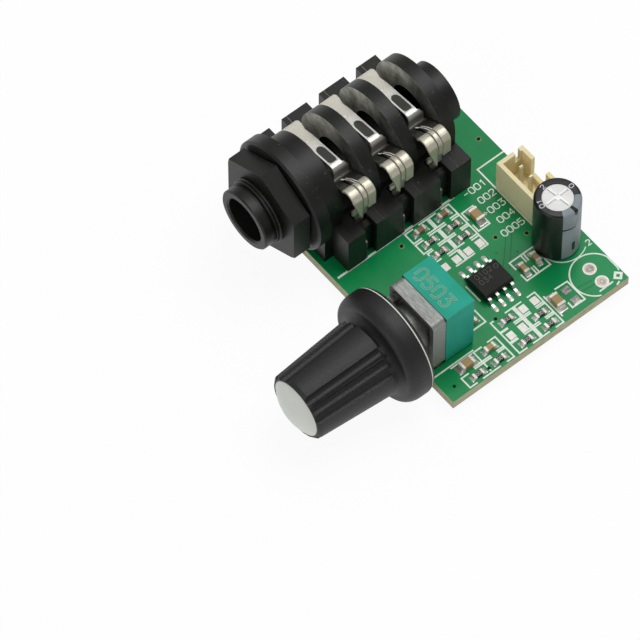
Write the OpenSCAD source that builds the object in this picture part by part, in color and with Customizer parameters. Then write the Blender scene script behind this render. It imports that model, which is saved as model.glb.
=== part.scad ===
// Preamplifier board with a panel jack, a potentiometer with its knob, a wire header and small parts.
// Millimetres. X runs across the board, Y from the panel to the back of the board, Z up.
// The origin lies on the jack's axis, in the plane where a panel meets the jack's flange.

/* [Board] */
// Width of the board
board_w = 44; // [42:0.5:60]
// Depth of the board from its front edge to its back edge
board_d = 30; // [29:0.5:45]
// Thickness of the board
board_t = 1.6; // [0.8:0.1:2.4]
// Length of the pins below the board
pin_reach = 1.2; // [0.8:0.1:2]
// Room round a pin in its hole
hole_gap = 0.15; // [0.05:0.05:0.3]
// Radius of the plated through holes that carry no part
via_r = 0.25; // [0.15:0.05:0.4]
// Thickness of a tinned pad
pad_t = 0.06; // [0.04:0.01:0.15]
// Height of the solder round each pin below the board
solder_h = 0.8; // [0.4:0.1:1.1]
// Radius of the solder round each pin
solder_r = 0.95; // [0.8:0.05:1.1]

/* [Jack] */
// Diameter of the plug that the jack takes
plug_d = 6.35; // [6:0.05:6.8]
// Room round the plug
plug_gap = 0.125; // [0.05:0.025:0.2]
// Distance of the jack's axis from the left edge of the board
jack_x = 9.9; // [9.5:0.1:12]
// Height of the jack's axis above the board
jack_h = 9.5; // [9:0.1:12]
// Distance of the flange ahead of the board's front edge
jack_overhang = 1.3; // [0.8:0.05:1.6]
// Distance from one contact to the next
contact_pitch = 6.35; // [6:0.05:7]
// Diameter of the threaded bush
bush_d = 9.5; // [9.2:0.1:10]
// Length of the bush ahead of the flange
bush_len = 5.85; // [5.4:0.05:8]
// Width of the nut across its flats
nut_af = 13.5; // [12.5:0.1:15]
// Thickness of the nut
nut_t = 2.7; // [2.2:0.1:3]
// Space between the nut and the flange
panel_space = 0.25; // [0.05:0.05:0.5]
// Radius of the flange
flange_r = 8.4; // [8.1:0.05:9]
// Thickness of the flange
flange_t = 2.1; // [1.6:0.05:2.5]
// Radius of the rings
ring_r = 6.95; // [6.6:0.05:7.3]
// Thickness of a ring
ring_t = 2; // [1.6:0.1:2.3]
// Length of the wide ring behind the flange
collar_len = 3.1; // [2.5:0.1:3.4]
// Half of the width over the side walls
wall_out = 10.1; // [9.8:0.05:11]
// Height of the left wall above the board
left_wall_h = 7.5; // [6.5:0.1:8]
// Height of the right wall above the board
right_wall_h = 6.8; // [6:0.1:7.5]
// Width of the slots in the left wall
left_slot_w = 2.1; // [1.8:0.1:2.4]
// Width of the slots in the right wall
right_slot_w = 1.9; // [1.6:0.1:2]
// Radius of the boss at the back
boss_r = 4.45; // [4.2:0.05:4.8]
// Length of the boss behind the last ring
boss_len = 2.75; // [2:0.05:5]

/* [Jack contacts] */
// Thickness of the contact springs
spring_t = 0.3; // [0.2:0.05:0.4]
// Width of a contact spring at its ends
spring_w = 3.7; // [3:0.1:3.9]
// Width of a contact spring in its middle
spring_waist = 1.75; // [1.6:0.05:2.2]
// Width of the window in a spring
window_w = 0.95; // [0.6:0.05:1]
// Radius of the rolled end of a spring
roll_r = 1.25; // [1:0.05:1.35]
// Width of the solder tails of the contacts
tail_w = 1; // [0.8:0.1:1.2]
// Width of the switch contacts below the rolled ends
switch_w = 1.4; // [1.2:0.1:1.45]

/* [Potentiometer] */
// Distance of the potentiometer's axis from the left edge of the board
pot_x = 34.3; // [33.8:0.1:36]
// Height of the potentiometer's axis above the board
pot_h = 5.4; // [5.2:0.1:6.4]
// Width of the housing
pot_w = 8.85; // [8.6:0.05:9.5]
// Height of the housing
pot_height = 10.3; // [10:0.1:11]
// Distance of the housing behind the board's front edge
pot_setback = 0.9; // [0.4:0.05:1.2]
// Depth of the metal housing
pot_front_d = 2.1; // [1.8:0.05:2.6]
// Depth of the plastic cover
pot_cover_d = 4.8; // [4.6:0.05:5.5]
// Diameter of the shaft
shaft_d = 6; // [5.5:0.1:6.3]
// Length of the shaft ahead of the housing
shaft_len = 15; // [13:0.1:16]
// Depth of the flat on the shaft
shaft_flat = 1.5; // [1:0.1:2]
// Running clearance round the shaft
shaft_gap = 0.05; // [0.02:0.01:0.1]
// Length of the bearing neck ahead of the housing
neck_len = 4.6; // [4:0.1:5]
// Space between the three terminals
terminal_pitch = 2.5; // [2:0.1:2.6]

/* [Knob] */
// Radius of the knob's skirt
skirt_r = 8.1; // [7.6:0.05:8.5]
// Distance from the skirt's back to the front of the potentiometer's housing
knob_gap = 2.4; // [1:0.1:3]
// Length of the skirt from its back to its flare
skirt_len = 4; // [3.4:0.1:4.2]
// Length of the whole knob
knob_len = 16.9; // [16:0.05:18]
// Radius of the grip at its back end
grip_r_back = 5.75; // [5.5:0.05:6.3]
// Radius of the grip at its front end
grip_r_front = 4.9; // [4.85:0.05:5.4]
// Groups of grooves round the grip
groove_groups = 4; // [2:1:4]
// Angle between the grooves of a group
groove_step = 17; // [15:0.5:20]
// Radius of a groove
groove_r = 0.75; // [0.5:0.05:0.8]
// Radius of the cap in the knob's front
cap_r = 4.2; // [3.8:0.05:4.35]
// Thickness of the cap at its rim
cap_t = 1; // [0.6:0.1:1.6]
// Height of the cap's dome
cap_dome = 1.3; // [0.2:0.05:1.5]

/* [Header] */
// Distance from the left edge of the board to the header
header_x = 22.3; // [22:0.1:22.6]
// Distance from the front edge of the board to the header
header_y = 25.5; // [24:0.1:25.5]
// Number of pins
header_count = 3; // [2:1:3]
// Space between the pins
header_pitch = 2; // [2:0.05:2.05]
// Shroud beyond the outer pins
header_end = 1.95; // [1.8:0.05:2]
// Depth of the shroud
header_d = 4.5; // [4.2:0.1:4.5]
// Height of the shroud
header_h = 6; // [5.5:0.1:7]
// Thickness of the shroud's walls
header_wall = 0.6; // [0.5:0.05:0.7]
// Height of the shroud's floor
header_floor = 1.2; // [0.8:0.1:1.6]
// Width of the square header pins
header_pin_w = 0.5; // [0.4:0.05:0.6]

/* [Capacitor] */
// Radius of the capacitor
can_r = 3.2; // [2.9:0.05:3.3]
// Height of the capacitor above the board
can_h = 10.7; // [9:0.1:12]
// Thickness of the sleeve
sleeve_t = 0.15; // [0.1:0.05:0.3]
// Radius of the opening in the top of the sleeve
sleeve_open_r = 2.1; // [1.8:0.1:2.4]
// Space between the leads
lead_pitch = 2.5; // [2:0.1:3]
// Radius of the leads
lead_r = 0.25; // [0.2:0.05:0.35]

/* [Small parts] */
// Length of the amplifier chip's body
chip_l = 4.9; // [4.7:0.1:5.2]
// Width of the amplifier chip's body
chip_w = 3.9; // [3.7:0.1:4.2]
// Width over the amplifier chip's leads
chip_span = 6.6; // [6:0.1:7]
// Space between the amplifier chip's leads
chip_pitch = 1.27; // [1.25:0.01:1.3]
// Height of the amplifier chip
chip_h = 1.6; // [1.4:0.05:1.9]
// Length of the small resistors and capacitors
small_l = 1.6; // [1.5:0.05:1.7]
// Width of the small resistors and capacitors
small_w = 0.8; // [0.7:0.05:0.9]
// Height of the small resistors
resistor_h = 0.45; // [0.35:0.05:0.6]
// Height of the small capacitors
small_h = 0.8; // [0.6:0.05:0.9]
// Length of the large capacitors
large_l = 2; // [1.9:0.05:2.1]
// Width of the large capacitors
large_w = 1.25; // [1.1:0.05:1.35]
// Height of the large capacitors
large_h = 1; // [0.8:0.05:1.25]
// Length of the metal end of a small part
end_l = 0.35; // [0.25:0.05:0.45]
// Distance between the columns of small parts
column_pitch = 2.1; // [2.05:0.05:2.2]
// Distance between the rows of small parts
row_pitch = 3.95; // [3.9:0.05:4.1]

/* [Hidden] */
$fn = 64;
over = 1;

// Levels and lengths along the jack's axis
board_top = -jack_h;
board_front = jack_overhang;
bore_r = plug_d / 2 + plug_gap;
tip_len = 1.35;
tip_groove = 0.55;
mouth = 0.25;
collar_end = flange_t + collar_len;
spring_room = contact_pitch - ring_t;
function gap_y(i) = collar_end + spring_room / 2 + contact_pitch * i;
function ring_y(i) = collar_end + spring_room + contact_pitch * i;
last_ring_end = ring_y(2) + ring_t;
boss_end = last_ring_end + boss_len;
bore_end = boss_end - 1.5;
boss_at = [0.3, -0.3];
nut_front = -panel_space - nut_t;
mean_thread = 0.25;
left_wall_top = board_top + left_wall_h;
right_wall_top = board_top + right_wall_h;
tail_end = board_top - board_t - pin_reach;

// Places on the contacts, across and up from the jack's axis
root_x = -6.35;
slot_shift = 0.33;
root_half = left_slot_w / 2 - slot_shift - 0.05;
arm_h = 3.65;
lip = [3.0, 3.85];
vee = [3.45, 1.65];
shoulder = [5.6, 3.0];
roll_at = [7.4, 2.6];
finger_low = -1.3;
switch_x = 7.5;
switch_tail = [9.45, 10.05];
switch_tail_y = 0.25 - right_slot_w / 2;
switch_tail_h = 4;
head_x = roll_at[0] + roll_r - spring_t - 0.15;
head_top = 0.55;
head_low = -0.4;

// Lengths along the potentiometer's axis, from the front of its housing
rotor_front = 1.05;
rotor_end = 3.6;
element_front = 4.3;
element_t = 0.8;
cavity_r = 4;
stub_r = 2;
neck_r = 3.4;
seat_gap = 0.03;
terminal_t = 0.3;
terminal_w = 0.8;
knob_back = -knob_gap;
knob_front = knob_back - knob_len;
flare_len = 1;
grip_neck = 5.2;
grip_end = knob_back - skirt_len - flare_len;
grip_slope = atan((grip_r_back - grip_r_front) / (grip_end - knob_front));

// Places on the board, from its left front corner
header_w = 2 * header_end + (header_count - 1) * header_pitch;
header_pin_y = header_y + 2.6;
capacitor_at = [33.65, 26.25];
spare_holes = [[39.8, 26.85], [42.3, 26.85]];
chip_at = [33.25, 15.3];
left_column = 21.3;
right_column = 38.95;
first_row = 13.4;
front_rows = [5.15, 8.8];
spare_pad = [1.15, 1.05];
spare_pitch = 1.95;
vias = [[21.4, 10.1], [28.2, 20.5], [30.3, 24.1], [37.8, 12.4], [43.0, 6.9], [42.25, 1.65], [15, 28.7]];

// Small parts: place of the centre and the turn about the upright
function column(i) = left_column + column_pitch * i;
function far_column(i) = right_column + column_pitch * i;
function row(i) = first_row + row_pitch * i;
resistors = [
    for (i = [1, 2], j = [0, 1]) [column(i), row(j), 90],
    [far_column(0), row(0), 90], [far_column(1), row(1), 90],
    for (j = [0, 1]) [far_column(2) - 0.15, row(j), 90],
    for (y = front_rows) [far_column(2) - 0.2, y, 90]
];
small_capacitors = [
    for (j = [0, 1]) [column(0), row(j), 90],
    [chip_at[0] + 1.15, chip_at[1] + 4.8, 0], [chip_at[0] + 0.85, chip_at[1] + 7.1, 0],
    [far_column(1) - 0.15, front_rows[1], 90], [pot_x + 2.05, front_rows[1] + 0.6, 90]
];
large_capacitors = [
    [column(1) + 0.8, row(1) + 3.25, 0], [far_column(1), row(1) + 2.85, 0],
    [far_column(1) - 0.15, front_rows[0] - 0.25, 90]
];
spare_places = [
    for (j = [0, 1]) [column(3), row(j), 90],
    [far_column(0), row(1) - 0.2, 90], [far_column(1), row(0) - 0.1, 90],
    [far_column(1) + 0.25, row(1) + 5, 0]
];

// Pins that pass through the board: place from its left front corner, half width and half thickness
function jack_at(x, y) = [x + jack_x, y - jack_overhang];
spring_tails = [for (i = [0:2]) concat(jack_at(root_x, gap_y(i)), [spring_t / 2, tail_w / 2])];
switch_tails = [
    for (i = [0:2]) concat(
        jack_at((switch_tail[0] + switch_tail[1]) / 2, gap_y(i) + switch_tail_y),
        [(switch_tail[1] - switch_tail[0]) / 2, spring_t / 2]
    )
];
pot_tail_y = pot_setback + element_front + element_t + terminal_t / 2;
pot_tails = [for (i = [-1:1]) [pot_x + terminal_pitch * i, pot_tail_y, terminal_w / 2, terminal_t / 2]];
pot_lug_y = pot_setback + pot_front_d / 2;
pot_lug_x = pot_w / 2 - 0.6;
pot_lugs = [for (s = [-1, 1]) [pot_x + s * pot_lug_x, pot_lug_y, 0.4, 0.5]];
header_tails = [
    for (i = [0:header_count - 1])
        [header_x + header_end + header_pitch * i, header_pin_y, header_pin_w / 2, header_pin_w / 2]
];
capacitor_tails = [for (s = [-1, 1]) [capacitor_at[0] + s * lead_pitch / 2, capacitor_at[1], lead_r, lead_r]];
flat_tails = concat(spring_tails, switch_tails, pot_tails, pot_lugs, header_tails);

// Tools for shapes
function unit(v) = v / norm(v);
function left_of(v) = [-v[1], v[0]];
function way(p, i) = unit(p[min(i + 1, len(p) - 1)] - p[max(i, 0)]);
function bend(p, i) =
    let (a = left_of(way(p, max(i - 1, 0))), b = left_of(way(p, min(i, len(p) - 2))), m = unit(a + b))
    m / (m * a);
function strip_outline(p, t) = concat(
    [for (i = [0:len(p) - 1]) p[i] + bend(p, i) * t / 2],
    [for (i = [len(p) - 1:-1:0]) p[i] - bend(p, i) * t / 2]
);
function arc(c, r, from, to, n) = [
    for (i = [0:n]) let (a = from + (to - from) * i / n) c + r * [cos(a), sin(a)]
];

// Puts a shape drawn from the board's left front corner in its place
module on_board() {
    translate([-jack_x, board_front, board_top]) children();
}

// Puts a shape drawn round the potentiometer's axis, from the front of its housing, in its place
module on_pot() {
    on_board() translate([pot_x, pot_setback, pot_h]) children();
}

// Turned shape about the Y axis, from points of radius and length
module turned(points) {
    rotate([-90, 0, 0]) rotate_extrude() polygon(points);
}

// Round bar along the Y axis
module bar(r, from, to) {
    translate([0, from, 0]) rotate([-90, 0, 0]) cylinder(r = r, h = to - from);
}

// Block between two corners
module block(a, b) {
    translate(a) cube(b - a);
}

// Sheet strip bent along points in the XZ plane
module strip(points, t, w) {
    rotate([90, 0, 0]) translate([0, 0, -w / 2]) linear_extrude(w) polygon(strip_outline(points, t));
}

// Section of the shaft where the knob sits, drawn round its axis
module shaft_section(grow) {
    intersection() {
        circle(r = shaft_d / 2 + grow);
        translate([-shaft_d, -shaft_d]) square([2 * shaft_d, 1.5 * shaft_d - shaft_flat + grow]);
    }
}

// Board with its holes
module board() {
    color("seagreen") on_board() difference() {
        translate([0, 0, -board_t]) cube([board_w, board_d, board_t]);
        for (p = flat_tails) {
            translate([p[0] - p[2] - hole_gap, p[1] - p[3] - hole_gap, -board_t - over])
                cube([2 * (p[2] + hole_gap), 2 * (p[3] + hole_gap), board_t + 2 * over]);
        }
        for (p = concat(capacitor_tails, spare_holes)) {
            translate([p[0], p[1], -board_t - over]) cylinder(r = lead_r + hole_gap, h = board_t + 2 * over);
        }
        for (p = vias) {
            translate([p[0], p[1], -board_t - over]) cylinder(r = via_r, h = board_t + 2 * over);
        }
    }
}

// Pads without a part, with the two rings of the spare capacitor
module tinned_pads() {
    color("lightgray") on_board() {
        for (p = spare_places, s = [-1, 1]) {
            translate([p[0], p[1], pad_t / 2]) rotate([0, 0, p[2]]) translate([s * spare_pitch / 2, 0, 0])
                cube([spare_pad[1], spare_pad[0], pad_t], center = true);
        }
        for (p = spare_holes) {
            translate([p[0], p[1], 0]) difference() {
                cylinder(r = 0.95, h = pad_t);
                translate([0, 0, -over]) cylinder(r = lead_r + hole_gap, h = 2 * over);
            }
        }
    }
}

// One joint of solder below the board, with a hollow side, round a pin
module solder(half_w, half_t) {
    neck = norm([half_w, half_t]) + 0.12;
    side = arc([solder_r, -solder_h], solder_r - neck, 90, 180, 6);
    difference() {
        translate([0, 0, -board_t]) rotate_extrude()
            polygon(concat(
                [[0, -solder_h], [0, 0], [solder_r, 0]], [for (p = side) [p[0], min(p[1], -0.1)]]
            ));
        children();
    }
}

module solder_joints() {
    color("gainsboro") on_board() {
        for (p = flat_tails) {
            translate([p[0], p[1], 0]) solder(p[2], p[3])
                cube([2 * p[2], 2 * p[3], 4 * board_t + 4 * solder_h], center = true);
        }
        for (p = capacitor_tails) {
            translate([p[0], p[1], 0]) solder(lead_r * 0.7, lead_r * 0.7)
                cylinder(r = lead_r + 0.01, h = 4 * board_t + 4 * solder_h, center = true);
        }
    }
}

// Room in the right wall for a switch contact: a pocket for its stem, a groove in the outer face and a
// slit between them for the tail, under a web that is lower than the wall
module right_slot(half) {
    far = wall_out + over;
    web = right_wall_top - 0.9;
    block([6.5, -half, board_top - over], [8.1, half, right_wall_top + over]);
    block([wall_out - 1, -half, board_top - over], [far, half, right_wall_top + over]);
    block([8, -half, web], [far, half, right_wall_top + over]);
    block([8, -half, board_top - over], [far, 0.5 - half, board_top + switch_tail_h + 0.2]);
}

// Moulded body of the jack: bush, flange, rings, side walls and boss in one piece
module jack_body() {
    bush_r = bush_d / 2;
    tip_r = bush_r - 0.2;
    color("dimgray") difference() {
        union() {
            turned([
                [0, -bush_len], [tip_r - 0.2, -bush_len], [tip_r, -bush_len + 0.2],
                [tip_r, -bush_len + tip_len], [bush_r - 0.5, -bush_len + tip_len],
                [bush_r - 0.5, -bush_len + tip_len + tip_groove], [bush_r, -bush_len + tip_len + tip_groove],
                [bush_r, nut_front], [bush_r - mean_thread, nut_front],
                [bush_r - mean_thread, 0], [flange_r - 0.3, 0], [flange_r, 0.3],
                [flange_r, flange_t], [ring_r, flange_t], [ring_r, collar_end], [0, collar_end]
            ]);
            for (i = [0:2]) {
                bar(ring_r, ring_y(i), ring_y(i) + ring_t);
                block([-ring_r, ring_y(i), board_top], [ring_r, ring_y(i) + ring_t, 0]);
            }
            block([-ring_r, flange_t, board_top], [ring_r, collar_end, 0]);
            block([root_x + 0.2, flange_t, board_top], [ring_r - 0.6, last_ring_end, -1.2]);
            translate([boss_at[0], 0, boss_at[1]]) bar(boss_r, last_ring_end - over, boss_end);
            difference() {
                block([-wall_out, flange_t + 0.3, board_top], [-3, last_ring_end + 0.55, left_wall_top]);
                for (i = [0:2]) {
                    translate([-wall_out - over, gap_y(i) + slot_shift - left_slot_w / 2, board_top - over])
                        cube([wall_out - 5.1 + over, left_slot_w, left_wall_h + 2 * over]);
                }
            }
            difference() {
                block([3, flange_t + 1.4, board_top], [wall_out, last_ring_end + 0.15, right_wall_top]);
                for (i = [0:2]) translate([0, gap_y(i), 0]) right_slot(right_slot_w / 2);
            }
        }
        bar(bore_r, -bush_len - over, bore_end);
        turned([
            [0, -bush_len - over], [bore_r + mouth + over, -bush_len - over],
            [bore_r, -bush_len + mouth], [0, -bush_len + mouth]
        ]);
    }
}

// Hexagon nut with its corners bevelled at the front
module jack_nut() {
    corner_r = nut_af / sqrt(3);
    front = nut_front;
    color("dimgray") difference() {
        intersection() {
            translate([0, front, 0]) rotate([-90, 30, 0]) cylinder(r = corner_r, h = nut_t, $fn = 6);
            turned([
                [0, front - over], [corner_r - 0.3, front - over], [corner_r - 0.3, front],
                [corner_r + 0.1, front + 0.2], [corner_r + 0.1, front + nut_t + over],
                [0, front + nut_t + over]
            ]);
        }
        bar(bush_d / 2 - mean_thread + 0.05, front - over, front + nut_t + over);
    }
}

// Stamped contact spring: solder tail, root, arm with a window, vee for the plug and a rolled end.
// Two slits part the rolled end into three fingers. The front one is the longest and ends in a point.
module contact_spring(i) {
    half = spring_w / 2;
    waist = spring_waist / 2;
    end_x = roll_at[0] + roll_r;
    line = concat(
        [[root_x, tail_end], [root_x, 2.4], [root_x + 0.13, 2.7], [root_x + 0.45, 2.88]],
        [[-3.4, 3.05], [-1.3, 3.3], [0.9, arm_h]],
        [[2.6, arm_h + 0.25], lip, [3.3, 3.2], vee, [3.85, 1.8], shoulder],
        arc(roll_at, roll_r, 150, 0, 8), [[end_x, finger_low]]
    );
    rear_edge = [
        [root_x - 0.2, root_half], [root_x + 0.4, 0.95], [root_x + 1, 0.95], [-4.4, 0.7], [-3, waist],
        [2.9, waist], [3.5, half - 0.15], [4.2, half], [4.2, half + over], [root_x - 0.2, half + over]
    ];
    front_edge = [
        [-5.2, -half], [-3.2, -waist], [3.2, -waist], [4.2, -waist - 0.45], [5.4, -half], [5.4, -half - over],
        [-5.2, -half - over]
    ];
    front_slit = [
        [4.35, -0.5], [4.6, -0.75], [6.3, -0.38], [10, -0.36], [10, -0.24], [6.3, -0.22], [4.6, -0.2]
    ];
    rear_slit = [[4.5, -0.02], [6.3, 0.45], [10, 0.45], [10, 0.57], [6.3, 0.57], [4.6, 0.12]];
    color("lightgray") translate([0, gap_y(i), 0]) difference() {
        strip(line, spring_t, spring_w);
        for (edge = [rear_edge, front_edge, front_slit, rear_slit]) {
            translate([0, 0, edge == rear_edge ? 0.5 : finger_low - over]) linear_extrude(8) polygon(edge);
        }
        for (s = [-1, 1]) {
            scale([1, s, 1]) rotate([90, 0, 90]) translate([0, 0, root_x - 1]) linear_extrude(2) polygon([
                [half + over, 2.2], [half, 2.2], [root_half, 1.2], [root_half, board_top + 0.1],
                [tail_w / 2, board_top + 0.1], [tail_w / 2, tail_end - over], [half + over, tail_end - over]
            ]);
        }
        translate([end_x, 0, 0]) rotate([90, 0, 90]) translate([0, 0, -0.5]) linear_extrude(1) polygon([
            [-half - over, 3], [-half, 3], [-0.6, finger_low], [-0.6, finger_low - over],
            [half + over, finger_low - over], [half + over, 0.1], [0.5, 0.1], [0.5, 0.9], [-0.3, 0.9],
            [-0.3, finger_low - 2 * over], [-half - over, finger_low - 2 * over]
        ]);
        block([-0.6, -window_w / 2, arm_h - 1], [2.3, window_w / 2, arm_h + 1]);
    }
}

module sleeve_spring() {
    contact_spring(0);
}

module ring_spring() {
    contact_spring(1);
}

module tip_spring() {
    contact_spring(2);
}

// Fixed contact inside each rolled end: a wide head on a narrow stem, and a tail bent square to the stem
module switch_contacts() {
    head_half = spring_w / 2 - 0.15;
    foot = board_top + 1.2;
    line = [[switch_x, foot], [switch_x, head_low - 1.8], [head_x, head_low - 1.1], [head_x, head_top]];
    color("lightgray") for (i = [0:2]) translate([0, gap_y(i), 0]) {
        difference() {
            strip(line, spring_t, 2 * head_half);
            for (s = [-1, 1]) {
                scale([1, s, 1]) rotate([90, 0, 90]) translate([0, 0, switch_x - 1]) linear_extrude(4)
                    polygon([
                        [head_half + over, head_low], [switch_w / 2, head_low],
                        [switch_w / 2, foot - over], [head_half + over, foot - over]
                    ]);
            }
        }
        translate([0, switch_tail_y, 0]) rotate([90, 0, 0]) translate([0, 0, -spring_t / 2])
            linear_extrude(spring_t) polygon([
                [switch_x - spring_t / 2, foot], [switch_tail[0], foot], [switch_tail[0], tail_end],
                [switch_tail[1], tail_end], [switch_tail[1], board_top + switch_tail_h],
                [switch_x - spring_t / 2, board_top + switch_tail_h]
            ]);
    }
}

// Outline of the potentiometer seen from the front, with round corners
module pot_outline(r) {
    low = 0.2 - pot_h;
    high = low + pot_height;
    for (s = [-1, 1]) {
        translate([s * (pot_w / 2 - r), low + r]) circle(r = r);
        translate([s * (pot_w / 2 - r), high - r]) circle(r = r);
    }
    translate([-pot_w / 2 + r, low]) square([pot_w - 2 * r, pot_height]);
    translate([-pot_w / 2, low + r]) square([pot_w, pot_height - 2 * r]);
}

// Shape with a front outline, between two places on the potentiometer's axis
module plate(from, to) {
    translate([0, to, 0]) rotate([90, 0, 0]) linear_extrude(to - from) children();
}

// Die-cast housing with its bearing neck, locating posts, keying lug and feet
module pot_housing() {
    low = 0.2 - pot_h;
    high = low + pot_height;
    color("silver") on_pot() {
        difference() {
            union() {
                difference() {
                    plate(0, pot_front_d) pot_outline(0.8);
                    plate(-over, 0.5) translate([-pot_w / 2 + 0.7, low + 0.7])
                        square([pot_w - 1.4, pot_height - 1.4]);
                }
                bar(neck_r, -neck_len, 0.6);
                for (s = [-1, 1]) {
                    translate([s * (pot_w / 2 - 1.35), 0, s < 0 ? high - 1.35 : low + 1.35])
                        bar(0.5, -0.15, 0.6);
                }
                block([-pot_w / 2 + 0.2, -0.75, high - 3.3], [-pot_w / 2 + 1.3, 0.6, high - 2.3]);
            }
            bar(shaft_d / 2 + shaft_gap, -neck_len - over, pot_front_d + over);
            bar(cavity_r, rotor_front - 0.05, pot_front_d + over);
        }
        for (p = pot_lugs) {
            translate([p[0] - pot_x, p[1] - pot_setback, 0])
                block([-p[2], -p[3], -pot_h - board_t - pin_reach], [p[2], p[3], low + 0.5]);
        }
    }
}

// Plastic cover with the rotor's hollow and a pocket for the element
module pot_cover() {
    low = 0.2 - pot_h;
    front = pot_front_d;
    color("mediumseagreen") on_pot() difference() {
        plate(front, front + pot_cover_d) translate([-pot_w / 2, low]) square([pot_w, pot_height]);
        bar(cavity_r, front - over, element_front + 0.1);
        plate(element_front, element_front + element_t) translate([-pot_w / 2 + 0.6, low + 0.6])
            square([pot_w - 1.2, pot_height - 1.2]);
        for (i = [-1:1]) {
            translate([terminal_pitch * i - terminal_w / 2, element_front + element_t - 0.1, low - over])
                cube([terminal_w, terminal_t + 0.1, over + 4.2]);
        }
    }
}

// Carrier of the resistive track
module pot_element() {
    low = 0.2 - pot_h;
    color("saddlebrown") on_pot() difference() {
        plate(element_front, element_front + element_t) translate([-pot_w / 2 + 0.6, low + 0.6])
            square([pot_w - 1.2, pot_height - 1.2]);
        bar(1.5, element_front - over, element_front + element_t + over);
    }
}

// Three terminals behind the element, straight down through the board
module pot_terminals() {
    low = 0.2 - pot_h;
    from = element_front + element_t;
    color("lightgray") on_pot() for (i = [-1:1]) {
        translate([terminal_pitch * i, 0, 0])
            block(
                [-terminal_w / 2, from, -pot_h - board_t - pin_reach],
                [terminal_w / 2, from + terminal_t, low + 4.2]
            );
    }
}

// Shaft with its flat for the knob and a stub for the rotor
module pot_shaft() {
    color("gainsboro") on_pot() {
        plate(-shaft_len, -neck_len - 0.4) shaft_section(0);
        bar(shaft_d / 2, -neck_len - 0.4, rotor_front);
        plate(rotor_front, rotor_end) intersection() {
            circle(r = stub_r);
            square([2 * stub_r, 1.5 * stub_r], center = true);
        }
    }
}

// Rotor that turns with the shaft
module pot_rotor() {
    color("white") on_pot() difference() {
        bar(cavity_r - 0.3, rotor_front, rotor_end);
        plate(rotor_front - over, rotor_end + over) intersection() {
            circle(r = stub_r + 0.02);
            square([2 * stub_r + 0.04, 1.5 * stub_r + 0.04], center = true);
        }
    }
}

// Wiper of sheet metal behind the rotor, with two fingers on the element
module pot_wiper() {
    reach = element_front - 0.05;
    color("gold") on_pot() {
        difference() {
            bar(3.3, rotor_end, rotor_end + 0.2);
            bar(2.1, rotor_end - over, rotor_end + over);
        }
        for (s = [-1, 1]) {
            translate([s * 0.55, 0, 2.3])
                block([-0.3, rotor_end + 0.2, 0], [0.3, reach, 0.7]);
        }
    }
}

// Knob: round skirt, hollow flare down to a neck, and a tapered grip that stands proud of the neck, with
// groups of grooves that run out at its back end
module knob_body() {
    straight = 2.1;
    fall = 1.1;
    shoulder_at = [skirt_r - fall, knob_back - straight];
    flare_r = shoulder_at[0] - grip_neck;
    color("dimgray") on_pot() difference() {
        turned(concat(
            [[0, knob_back], [skirt_r - 0.55, knob_back], [skirt_r - 0.15, knob_back - 0.35]],
            [[skirt_r, knob_back - 0.9]],
            [
                for (a = [0:10:80])
                    [shoulder_at[0] + fall * cos(a), shoulder_at[1] - (skirt_len - straight) * sin(a)]
            ],
            [for (a = [90:15:180]) [shoulder_at[0] + flare_r * cos(a), grip_end + flare_len * sin(a)]],
            [[grip_r_back, grip_end], [grip_r_front, knob_front + 0.45]],
            [[grip_r_front - 0.45, knob_front], [0, knob_front]]
        ));
        for (g = [0:groove_groups - 1], k = [-1:1]) {
            rotate([0, 45 + g * 360 / groove_groups + k * groove_step, 0])
                translate([0, knob_front, grip_r_front + groove_r * 0.3]) rotate([grip_slope, 0, 0])
                    bar(groove_r, -over, grip_end - knob_front + 0.05);
        }
        bar(cap_r + seat_gap, knob_front - over, knob_front + cap_t);
        bar(neck_r + 1, -neck_len - 0.6, knob_back + over);
        plate(-shaft_len - 0.4, -neck_len) shaft_section(seat_gap);
    }
}

// Domed cap in the front of the knob
module knob_cap() {
    dome_r = (cap_r * cap_r + cap_dome * cap_dome) / (2 * cap_dome);
    edge = asin(cap_r / dome_r);
    top = arc([0, knob_front - cap_dome + dome_r], dome_r, -90, -90 + edge, 6);
    color("lightgray") on_pot() turned(concat(top, [[cap_r, knob_front + cap_t], [0, knob_front + cap_t]]));
}

// Shroud of the header: low in the middle of its back wall, with a slit in its left end
module header_shroud() {
    tall = 2.5;
    color("wheat") on_board() translate([header_x, header_y, 0]) difference() {
        cube([header_w, header_d, header_h]);
        translate([header_wall, header_wall, header_floor])
            cube([header_w - 2 * header_wall, header_d - 2 * header_wall, header_h]);
        translate([tall, header_d - header_wall - over, 2.4])
            cube([header_w - 2 * tall, header_wall + 2 * over, header_h]);
        for (x = [-over, header_w - header_wall - 0.1]) {
            translate([x, header_d - header_wall - 1.1, header_h - 2])
                cube([header_wall + over + 0.1, 0.9, 2 + over]);
        }
        for (i = [0:header_count - 1]) {
            translate([header_end + header_pitch * i, header_pin_y - header_y, 0])
                cube([header_pin_w, header_pin_w, 4 * header_floor], center = true);
        }
    }
}

// Square header pins with pointed tips
module header_pins() {
    h = header_h - 0.9;
    half = header_pin_w / 2;
    color("lightgray") on_board() for (p = header_tails) {
        translate([p[0], p[1], 0]) intersection() {
            block([-half, -half, -board_t - pin_reach], [half, half, h]);
            rotate([90, 0, 0]) translate([0, 0, -over]) linear_extrude(2 * over) polygon([
                [-half, -board_t - pin_reach], [half, -board_t - pin_reach],
                [half, h - 0.3], [half / 2, h], [-half / 2, h], [-half, h - 0.3]
            ]);
        }
    }
}

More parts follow.
